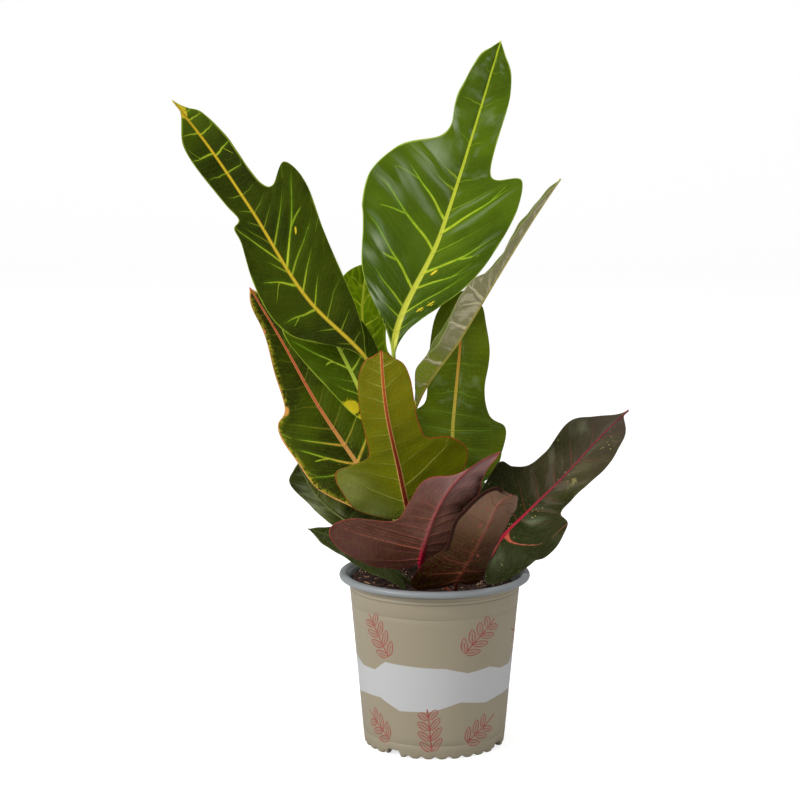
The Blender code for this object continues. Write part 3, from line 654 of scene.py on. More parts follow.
def veinNumbers(rows, shares, veins, last):
    # which vein each point lies on, as a number that is whole on a vein, and that vein's values
    order = np.arange(-1, len(veins) + 1)
    number = np.zeros((len(rows), len(shares)))
    for k, share in enumerate(shares):
        places = [-1.5, *[a + (b - a) * share for a, b, *_ in veins], last + 1.0]
        places = np.maximum.accumulate(np.array(places) + np.arange(len(places)) * 1e-3)
        number[:, k] = np.interp(rows, places, order)
    nearest = np.clip(np.round(number).astype(int) + 1, 0, len(veins) + 1)
    facts = np.array([(0, 0.5, 0), *[v[2:] for v in veins], (0, 0.5, 0)], float)
    return number, facts[nearest]


def leafVeinList(leaf, side):
    # (row at the midrib, row at the margin, strength, share where it ends, share where it forks)
    given = leaf["veins"][0 if side < 0 else 1]
    return [(*v, 0.8, 0.0)[:5] if len(v) < 5 else v for v in given]


def spotMask(points, shares, side, spots):
    # how strongly each point is covered; a spot is (side, row, share, size, strength), and one
    # that lies on the midrib covers both sides
    mask = np.zeros(points.shape[:2])
    for where, row, share, size, strength in spots:
        if where == side or share < 0.05:
            rowAt = leafBuild["stalkRows"] + int(round(row * leafBuild["rowsPerRib"]))
            spot = points[rowAt, int(np.abs(shares - share).argmin())]
            gone = np.linalg.norm(points - spot, axis=2) / size
            mask = np.maximum(mask, strength * np.exp(-(gone**2)))
    return mask


def leafRows(leaf, blade):
    # where each row starts on the midrib and ends on both margins, its number, and the tip's
    ribs = leaf["ribs"]
    if ribs is plainRibs:
        ribs = [(k, start * blade, end * blade, out, end * blade, out) for k, start, end, out in ribs]
    tip = ribs[-1][0] + 1
    ribs = np.array([(0, 0, 0, 0, 0, 0), *ribs, (tip, blade, blade, 0, blade, 0)], float)
    marks = np.linspace(0, tip, tip * leafBuild["rowsPerRib"] + 1)
    rows = through(ribs[:, 0], ribs[:, 1:], marks)
    rows[:, (2, 4)] = np.maximum(rows[:, (2, 4)], 0.5)
    rows[:, 0] = np.maximum.accumulate(rows[:, 0])
    return rows, marks, tip


def buildLeaf(name):
    leaf = leafShapes[name]
    midrib = Midrib(leaf)
    blade = midrib.blade
    look = leafLooks[name]
    shares = np.array(leafBuild["shares"])
    columns = len(shares) - 1
    rows, rowMarks, last = leafRows(leaf, blade)
    stalkCount = leafBuild["stalkRows"]
    stalk = np.linspace(-midrib.stalk, 0, stalkCount + 1)[:-1]
    starts = np.concatenate([stalk, rows[:, 0]])
    marks = np.concatenate([np.full(stalkCount, 0.0), rowMarks])
    count = len(starts)
    open_ = np.clip(starts / 10.0, 0, 1) ** 0.8  # 0 on the round stalk, 1 on the flat blade
    keel = np.interp(starts / blade, (0, 1), (leafBuild["keelBase"], leafBuild["keelTip"]))
    rib = np.interp(starts / blade, (0, 1), leafBuild["midribHalf"])
    radius = leafBuild["stalkRadius"]
    turn = np.arange(columns + 1) / columns * math.pi / 2
    phase = sum(map(ord, name)) * 0.37
    half = {}
    for side, pick in ((-1, 1), (1, 3)):
        endsAlong = np.concatenate([stalk, rows[:, pick]])
        endsOut = np.concatenate([np.zeros(stalkCount), rows[:, pick + 1]])
        number, facts = veinNumbers(marks, shares, leafVeinList(leaf, side), last)
        top = np.zeros((count, columns + 1, 3))
        low = np.zeros_like(top)
        outs = np.zeros((count, columns + 1))
        bare = np.zeros_like(top)
        for k, share in enumerate(shares):
            u = starts + (endsAlong - starts) * share * open_
            out = endsOut * share * open_ + radius * math.sin(turn[k]) * (1 - open_)
            points, normals = midrib.surface(u, out, side)
            roundHalf = radius * max(math.cos(turn[k]), 0.25) * (1 - open_)
            thick = leafBuild["lamina"] + (keel - leafBuild["lamina"]) * np.exp(-((out / rib) ** 2))
            thick = thick - (leafBuild["lamina"] - leafBuild["marginThin"]) * smoothStep(share, 0.85, 1.0)
            gap = np.abs(number[:, k] - np.round(number[:, k]))
            window = smoothStep(share, 0.02, 0.2) * (1 - smoothStep(share, 0.65, 1.0))
            swell = leafBuild["quilt"] * look.get("quilt", 1.0) * smoothStep(gap, 0.0, 0.5) * window
            wave = leafBuild["ripple"] * look.get("ripple", 1.0) * share**3
            swell = swell + wave * (np.sin(u * 0.19 + phase + side) + 0.6 * np.sin(u * 0.43 + 2 * phase))
            ridge = leafBuild["midribRelief"] * np.exp(-((out / (rib * 0.8)) ** 2))
            top[:, k] = points + (roundHalf + (swell + ridge) * open_)[:, None] * normals
            low[:, k] = points - (roundHalf + (thick - swell) * open_)[:, None] * normals
            bare[:, k] = points
            outs[:, k] = out
        across = np.gradient(bare, axis=1) + 1e-6
        downward = np.gradient(bare, axis=0)
        perRow = np.linalg.norm(np.cross(across, downward), axis=2) / np.linalg.norm(across, axis=2)
        pitch = perRow / np.maximum(np.gradient(number, axis=0), 1e-3)
        half[side] = dict(top=top, low=low, out=outs, number=number, facts=facts, bare=bare,
                          pitch=np.clip(pitch, 0.3, 60.0))
    margin = np.concatenate([half[s]["bare"][stalkCount:, -1] for s in (-1, 1)])
    for side in (-1, 1):
        every = half[side]["bare"].reshape(-1, 3)
        near = [np.linalg.norm(margin - p, axis=1).min() for p in every]
        half[side]["edge"] = np.array(near).reshape(count, columns + 1)
        half[side]["edge"][:stalkCount] = leafBuild["stalkEdge"]
        patches = look["patches"] or look["under"]["patches"]
        half[side]["patch"] = spotMask(half[side]["bare"], shares, side, patches)
        half[side]["sheenShade"] = spotMask(half[side]["bare"], shares, side, look["sheenShadeSpots"])

    # the ring of each row: upper side from the left margin to the right one, then back underneath
    around = [(-1, k, 1) for k in range(columns, 0, -1)] + [(1, k, 1) for k in range(columns + 1)]
    around += [(s, k, 0) for s, k, _ in around[::-1]]
    size = len(around)
    points = np.zeros((count, size, 3))
    values = {key: np.zeros((count, size)) for key in ("out", "edge", "patch", "sheenShade", "along")}
    for r, (side, k, upper) in enumerate(around):
        data = half[side]
        points[:, r] = data["top" if upper else "low"][:, k]
        for key in ("out", "edge", "patch", "sheenShade"):
            values[key][:, r] = data[key][:, k]
        values["along"][:, r] = starts / blade
    faces, halves, isLow = [], [], []
    for row in range(count - 1):
        for r in range(size):
            after = (r + 1) % size
            faces.append((row * size + r, row * size + after, (row + 1) * size + after, (row + 1) * size + r))
            halves.append(-1 if around[r][0] < 0 or around[after][0] < 0 else 1)
            isLow.append(0 if around[r][2] and r < size // 2 else 1)
    for start, way in ((0, 1), ((count - 1) * size, -1)):
        for r in range(size // 2 - 1):
            cap = (start + r, start + size - 1 - r, start + size - 2 - r, start + r + 1)
            faces.append(cap[::way])
            halves.append(1)
            isLow.append(0)
    materials = [leafMaterial(name, look, True), leafMaterial(name + "_under", look, False)]
    piece = meshObject(name + "_fine", points.reshape(-1, 3) * mm, faces, materials)
    mesh = piece.data
    turnOutward(mesh)
    mesh.polygons.foreach_set("material_index", isLow)
    corner = np.zeros(len(mesh.loops), int)
    mesh.loops.foreach_get("vertex_index", corner)
    owner = np.repeat(np.array(halves), 4)
    row, ring = corner // size, corner % size
    column = np.array([k for _, k, _ in around])[ring]
    pick = {}
    for key, take in (("number", None), ("pitch", None), ("strength", 0), ("end", 1), ("fork", 2)):
        both = [half[s]["facts"][:, :, take] if take is not None else half[s][key] for s in (-1, 1)]
        pick[key] = np.where(owner < 0, both[0][row, column], both[1][row, column])
    setMap(mesh, "vein", pick["number"], shares[column])
    setMap(mesh, "reach", pick["pitch"], pick["strength"])
    setMap(mesh, "fork", pick["end"], pick["fork"])
    for key, array in values.items():
        mesh.attributes.new(key, "FLOAT", "POINT").data.foreach_set("value", array.reshape(-1))
    addPiece(piece, name)


def setMap(mesh, name, first, second):
    made = mesh.uv_layers.new(name=name)
    made.data.foreach_set("uv", np.stack([first, second], 1).reshape(-1))


def turnOutward(mesh):
    # flips the faces where the volume that they enclose comes out negative
    mesh.calc_loop_triangles()
    corners = np.zeros(len(mesh.loop_triangles) * 3, int)
    mesh.loop_triangles.foreach_get("vertices", corners)
    places = np.zeros(len(mesh.vertices) * 3)
    mesh.vertices.foreach_get("co", places)
    a, b, c = places.reshape(-1, 3)[corners.reshape(-1, 3)].transpose(1, 0, 2)
    if (np.cross(a, b) * c).sum() < 0:
        mesh.flip_normals()


def makeVeinGroup():
    # masks for side veins, their halo, fine parallel veins and the net between them
    scalar, vector = "NodeSocketFloat", "NodeSocketVector"
    tree, given, made = newGroup("leafVeins", "ShaderNodeTree", [
        ("Vein Map", vector, None), ("Reach Map", vector, None), ("Fork Map", vector, None),
        ("Out", scalar, 0.0), ("Width", scalar, 1.0), ("Wobble", scalar, 0.1), ("Spread", scalar, 0.9),
        ("Fine Count", scalar, 4.0), ("Halo", scalar, 3.0), ("Net Scale", scalar, 3.0), ("Seed", scalar, 0.0),
    ], [(label, scalar) for label in ("Veins", "Halo", "Fine", "Net", "Streak", "Height")])
    uv = put(tree, "ShaderNodeSeparateXYZ", {0: given["Vein Map"]}).outputs
    reach = put(tree, "ShaderNodeSeparateXYZ", {0: given["Reach Map"]}).outputs
    fork = put(tree, "ShaderNodeSeparateXYZ", {0: given["Fork Map"]}).outputs
    share, pitch, strength = uv[1], reach[0], reach[1]
    # bend the veins a little so that none runs dead straight
    place = put(tree, "ShaderNodeCombineXYZ", {
        0: calc(tree, "ADD", uv[0], given["Seed"]), 1: times(tree, share, 3.5)}).outputs[0]
    sway = minus(tree, noise(tree, place, 0.9, 0.0), 0.5)
    sway = times(tree, sway, given["Wobble"])
    sway = times(tree, sway, fade(tree, share, 0.0, 0.3, 0.2, 1.0))
    number = calc(tree, "ADD", uv[0], sway)
    cell = calc(tree, "ROUND", number)
    off = minus(tree, number, cell)
    gap = times(tree, unsigned(tree, off), pitch)
    taper = fade(tree, over(tree, share, fork[0]), 0.0, 1.15, 1.0, 0.25)
    width = times(tree, given["Width"], taper)
    width = times(tree, width, calc(tree, "MULTIPLY_ADD", strength, 0.6, 0.4))
    stop = minus(tree, 1.0, fade(
        tree, minus(tree, share, fork[0]), -0.18, 0.05))
    line = fade(tree, over(tree, gap, width), 0.25, 0.75, 1.0, 0.0)
    line = times(tree, line, stop)
    # one arm of the fork leaves towards the side that the fork's sign says
    forkAt = unsigned(tree, fork[1])
    past = minus(tree, share, forkAt)
    arm = times(tree, times(tree, past, given["Spread"]), calc(tree, "SIGN", fork[1]))
    armGap = times(tree, unsigned(tree, minus(tree, off, arm)), pitch)
    armLine = fade(tree, over(tree, armGap, width), 0.25, 0.8, 1.0, 0.0)
    armLine = times(tree, armLine, fade(tree, past, 0.0, 0.02))
    armLine = times(tree, armLine, fade(tree, past, 0.2, 0.38, 1.0, 0.0))
    armLine = times(tree, armLine, fade(tree, forkAt, 0.01, 0.05))
    both = calc(tree, "MAXIMUM", line, times(tree, armLine, 0.85))
    patchy = fade(tree, noise(tree, place, 4.0, 3.0), 0.3, 0.55, 0.6, 1.0)
    veins = times(tree, times(tree, both, strength), patchy)
    halo = fade(tree, over(tree, gap, given["Halo"]), 0.0, 1.0, 1.0, 0.0)
    halo = times(tree, times(tree, halo, strength), stop)
    # fine parallel veins between the main ones
    many = times(tree, number, given["Fine Count"])
    fineOff = unsigned(tree, minus(tree, many, calc(tree, "ROUND", many)))
    fineGap = over(tree, times(tree, fineOff, pitch), given["Fine Count"])
    fine = fade(tree, fineGap, 0.05, 0.45, 1.0, 0.0)
    fine = times(tree, fine, fade(tree, noise(tree, place, 3.0, 2.0), 0.35, 0.7))
    netPlace = put(tree, "ShaderNodeCombineXYZ", {
        0: times(tree, number, given["Fine Count"]),
        1: over(tree, given["Out"], given["Net Scale"]), 2: given["Seed"]}).outputs[0]
    cells = put(tree, "ShaderNodeTexVoronoi", {"Vector": netPlace, "Scale": 1.0, "Randomness": 0.9},
                feature="DISTANCE_TO_EDGE").outputs["Distance"]
    net = fade(tree, cells, 0.02, 0.16, 1.0, 0.0)
    # broad streaks that run beside the veins, which shape the painted sheen
    streakPlace = put(tree, "ShaderNodeCombineXYZ", {
        0: times(tree, number, 2.2), 1: times(tree, share, 1.3), 2: given["Seed"]}).outputs[0]
    streak = noise(tree, streakPlace, 1.0, 2.0)
    height = calc(tree, "MULTIPLY_ADD", fine, 0.25, both)
    height = calc(tree, "MULTIPLY_ADD", net, 0.2, height)
    for label, socket in (("Veins", veins), ("Halo", halo), ("Fine", fine), ("Net", net), ("Streak", streak),
                          ("Height", height)):
        tree.links.new(socket, made[label])
    return tree


def leafMaterial(name, look, upper):
    made, tree, shader = newMaterial(name)
    side = dict(look)
    side.update(look.get("upper" if upper else "under", {}))
    seed = sum(map(ord, name)) % 17 * 1.3
    maps = [put(tree, "ShaderNodeUVMap", uv_map=key).outputs[0] for key in ("vein", "reach", "fork")]
    facts = {key: put(tree, "ShaderNodeAttribute", attribute_name=key).outputs["Fac"]
             for key in ("out", "edge", "patch", "sheenShade", "along")}
    place = objectPlace(tree)
    group = put(tree, "ShaderNodeGroup", node_tree=veinGroup)
    for key, value in (("Vein Map", maps[0]), ("Reach Map", maps[1]), ("Fork Map", maps[2]),
                       ("Out", facts["out"])):
        tree.links.new(value, group.inputs[key])
    for key, value in (("Width", side["veinWidth"]), ("Wobble", side["wobble"]), ("Spread", side["spread"]),
                       ("Fine Count", side["fineCount"]), ("Halo", side["haloWidth"]),
                       ("Net Scale", side["netScale"]), ("Seed", seed)):
        group.inputs[key].default_value = value
    veins = group.outputs
    along = put(tree, "ShaderNodeClamp", {0: facts["along"]}).outputs[0]
    colour = blendColour(tree, fade(tree, noise(tree, place, 28.0, 3.0), 0.35, 0.65), side["dark"],
                         side["light"])
    colour = blendColour(tree, fade(tree, along, side["tipFrom"], side["tipTo"], 0.0, side["tipShare"]),
                         colour, side["tip"])
    # towards the base the low tone takes over: painted shade on leaf_front_mauve, leaf_front_bronze and
    # leaf_low_right, the underside's own olive on leaf_top_right
    colour = blendColour(tree, fade(tree, along, side["lowFrom"], side["lowTo"], side["lowShare"], 0.0),
                         colour, side["low"])
    # pale streaks beside the veins: painted sheen, on some leaves together with their own pale mottling
    sheenMottle = fade(tree, veins["Streak"], side["sheenMottleFrom"], side["sheenMottleFrom"] + 0.16, 0.0, side["sheenMottleShare"])
    sheenMottle = times(tree, sheenMottle, fade(tree, facts["along"], side["sheenMottleStart"], side["sheenMottleStart"] + 0.12))
    colour = blendColour(tree, times(tree, sheenMottle, fade(tree, facts["edge"], 1.0, 4.0)),
                         colour, side["sheenMottle"])
    for key in ("halo", "net", "fine"):
        colour = blendColour(tree, times(tree, veins[key.title()], side[key + "Share"]), colour, side[key])
    # small pale speckles
    dots = put(tree, "ShaderNodeTexVoronoi", {"Vector": place, "Scale": 420.0,
                                              "Randomness": 1.0}).outputs["Distance"]
    dots = fade(tree, dots, 0.12, 0.3, 1.0, 0.0)
    dots = times(tree, dots, fade(tree, noise(tree, place, 60.0, 2.0), 0.55, 0.68))
    colour = blendColour(tree, times(tree, dots, side["speckShare"]), colour, side["speck"])
    veinColour = blendColour(tree, fade(tree, facts["out"], 2.0, side["veinFade"]), side["vein"],
                             side["veinEnd"])
    colour = blendColour(tree, times(tree, veins["Veins"], side["veinShare"]), colour, veinColour)
    # soft patches of painted sheen and painted shade, whole or only along the margin
    sheenShade = put(tree, "ShaderNodeClamp", {0: facts["sheenShade"]}).outputs[0]
    sheenShade = times(tree, sheenShade, fade(tree, veins["Streak"], 0.4, 0.6, 1.0 - side["sheenShadeStreak"], 1.0))
    sheenShade = times(tree, sheenShade, fade(
        tree, facts["edge"], side["sheenShadeEdge"] * 0.75, side["sheenShadeEdge"] * 1.15, 1.0, 0.0))
    colour = blendColour(tree, times(tree, sheenShade, side["sheenShadeShare"]), colour, side["sheenShade"])
    # coloured patches with ragged edges
    ragged = calc(tree, "MULTIPLY_ADD", noise(tree, place, 330.0, 3.0, 0.7), 0.9, -0.45)
    patch = fade(tree, calc(tree, "ADD", facts["patch"], times(tree, ragged, 0.8)), 0.42, 0.62)
    colour = blendColour(tree, patch, colour, side["patch"])
    # margin
    hatch = fade(tree, noise(tree, place, side["hatchScale"], 4.0, 0.7), 0.4, 0.62)
    hatch = times(tree, hatch, fade(tree, facts["edge"], 0.2, side["hatchWidth"], side["hatchShare"], 0.0))
    colour = blendColour(tree, hatch, colour, side["hatch"])
    edge = over(tree, facts["edge"], times(
        tree, side["marginWidth"], fade(tree, noise(tree, place, 45.0, 2.0), 0.3, 0.7, 0.5, 1.6)))
    edge = calc(tree, "ADD", edge, times(tree, ragged, side["marginRagged"]))
    colour = blendColour(tree, times(tree, fade(tree, edge, 0.5, 1.2, 1.0, 0.0), side["marginShare"]),
                         colour, side["margin"])
    # midrib
    left = calc(tree, "POWER", minus(tree, 1.0, along), 1.6)
    wide = calc(tree, "MULTIPLY_ADD", left, side["midribWidth"][0] - side["midribWidth"][1],
                side["midribWidth"][1])
    middle = over(tree, facts["out"], wide)
    ribColour = blendColour(tree, fade(tree, along, side["midribFrom"], side["midribTo"]), side["midrib"],
                            side["midribTip"])
    ribColour = blendColour(tree, fade(tree, middle, 0.42, 0.62, 0.0, side["ribEdgeShare"]), ribColour,
                            side["ribEdge"])
    ribColour = blendColour(tree, fade(tree, facts["along"], -0.03, side["stalkTo"], 1.0, 0.0), ribColour,
                            side["stalk"])
    colour = blendColour(tree, times(tree, fade(tree, middle, 0.75, 1.2, 1.0, 0.0), side["midribShare"]),
                         colour, ribColour)
    tree.links.new(colour, shader.inputs["Base Color"])
    roughen(tree, shader, noise(tree, place, 90.0, 3.0), side["rough"] - 0.05, side["rough"] + 0.08)
    shader.inputs["Specular IOR Level"].default_value = side["shine"]
    shader.inputs["Specular Tint"].default_value = side["shineTint"]
    shader.inputs["Coat Weight"].default_value = side["coat"]
    shader.inputs["Coat Roughness"].default_value = side["coatRough"]
    grain = put(tree, "ShaderNodeTexVoronoi", {"Vector": place, "Scale": 1600.0}).outputs["Distance"]
    height = times(tree, veins["Height"], side["relief"])
    height = calc(tree, "MULTIPLY_ADD", grain, 0.12, height)
    height = calc(tree, "MULTIPLY_ADD", noise(tree, place, 120.0, 3.0), 0.8, height)
    emboss(tree, shader, 0.7, 0.0004, height)
    return made


# What each leaf looks like. A leaf's own values replace the plain ones; "upper" and "under"
# hold what differs between its two sides. Widths are in millimetres.
plainLeaf = {
    "dark": tone(52, 84, 14), "light": tone(66, 102, 18), "tip": tone(66, 102, 18), "tipFrom": 0.5,
    "tipShare": 0.0, "tipTo": 1.0, "low": tone(40, 60, 12), "lowFrom": 0.0, "lowTo": 0.2, "lowShare": 0.0,
    "sheenMottle": tone(150, 164, 140), "sheenMottleFrom": 0.56, "sheenMottleShare": 0.0, "sheenMottleStart": -0.2,
    "halo": tone(92, 130, 24), "haloShare": 0.5, "haloWidth": 3.0,
    "net": tone(80, 112, 24), "netShare": 0.25, "netScale": 3.0, "fine": tone(96, 130, 30), "fineShare": 0.3,
    "fineCount": 4.0, "speck": tone(150, 170, 60), "speckShare": 0.0,
    "vein": tone(190, 205, 60), "veinEnd": tone(130, 165, 40), "veinShare": 1.0, "veinFade": 24.0,
    "veinWidth": 1.5, "wobble": 0.14, "spread": 1.6, "patch": tone(225, 205, 70),
    "margin": tone(150, 175, 60), "marginWidth": 0.7, "marginRagged": 0.0, "marginShare": 0.7,
    "hatch": tone(190, 190, 50), "hatchWidth": 3.0, "hatchShare": 0.0, "hatchScale": 620.0,
    "midrib": tone(205, 212, 70), "midribTip": tone(200, 215, 60), "midribFrom": 0.0, "midribTo": 1.0,
    "midribWidth": (2.0, 0.6), "midribShare": 1.0, "stalk": tone(112, 140, 50), "stalkTo": 0.03,
    "ribEdge": tone(190, 190, 90), "ribEdgeShare": 0.0, "shineTint": (0.9, 1.0, 0.25, 1.0),
    "rough": 0.4, "shine": 0.16, "coat": 0.04, "coatRough": 0.22, "relief": 0.8, "patches": [],
    "sheenShadeSpots": [], "sheenShade": tone(150, 160, 130), "sheenShadeShare": 1.0, "sheenShadeEdge": 90.0, "sheenShadeStreak": 0.0,
}
underGreen = {
    "dark": tone(108, 118, 70), "light": tone(122, 130, 84), "coat": 0.0, "rough": 0.55, "relief": 1.8,
    "haloShare": 0.2, "veinShare": 0.7, "midribWidth": (2.6, 1.1),
}
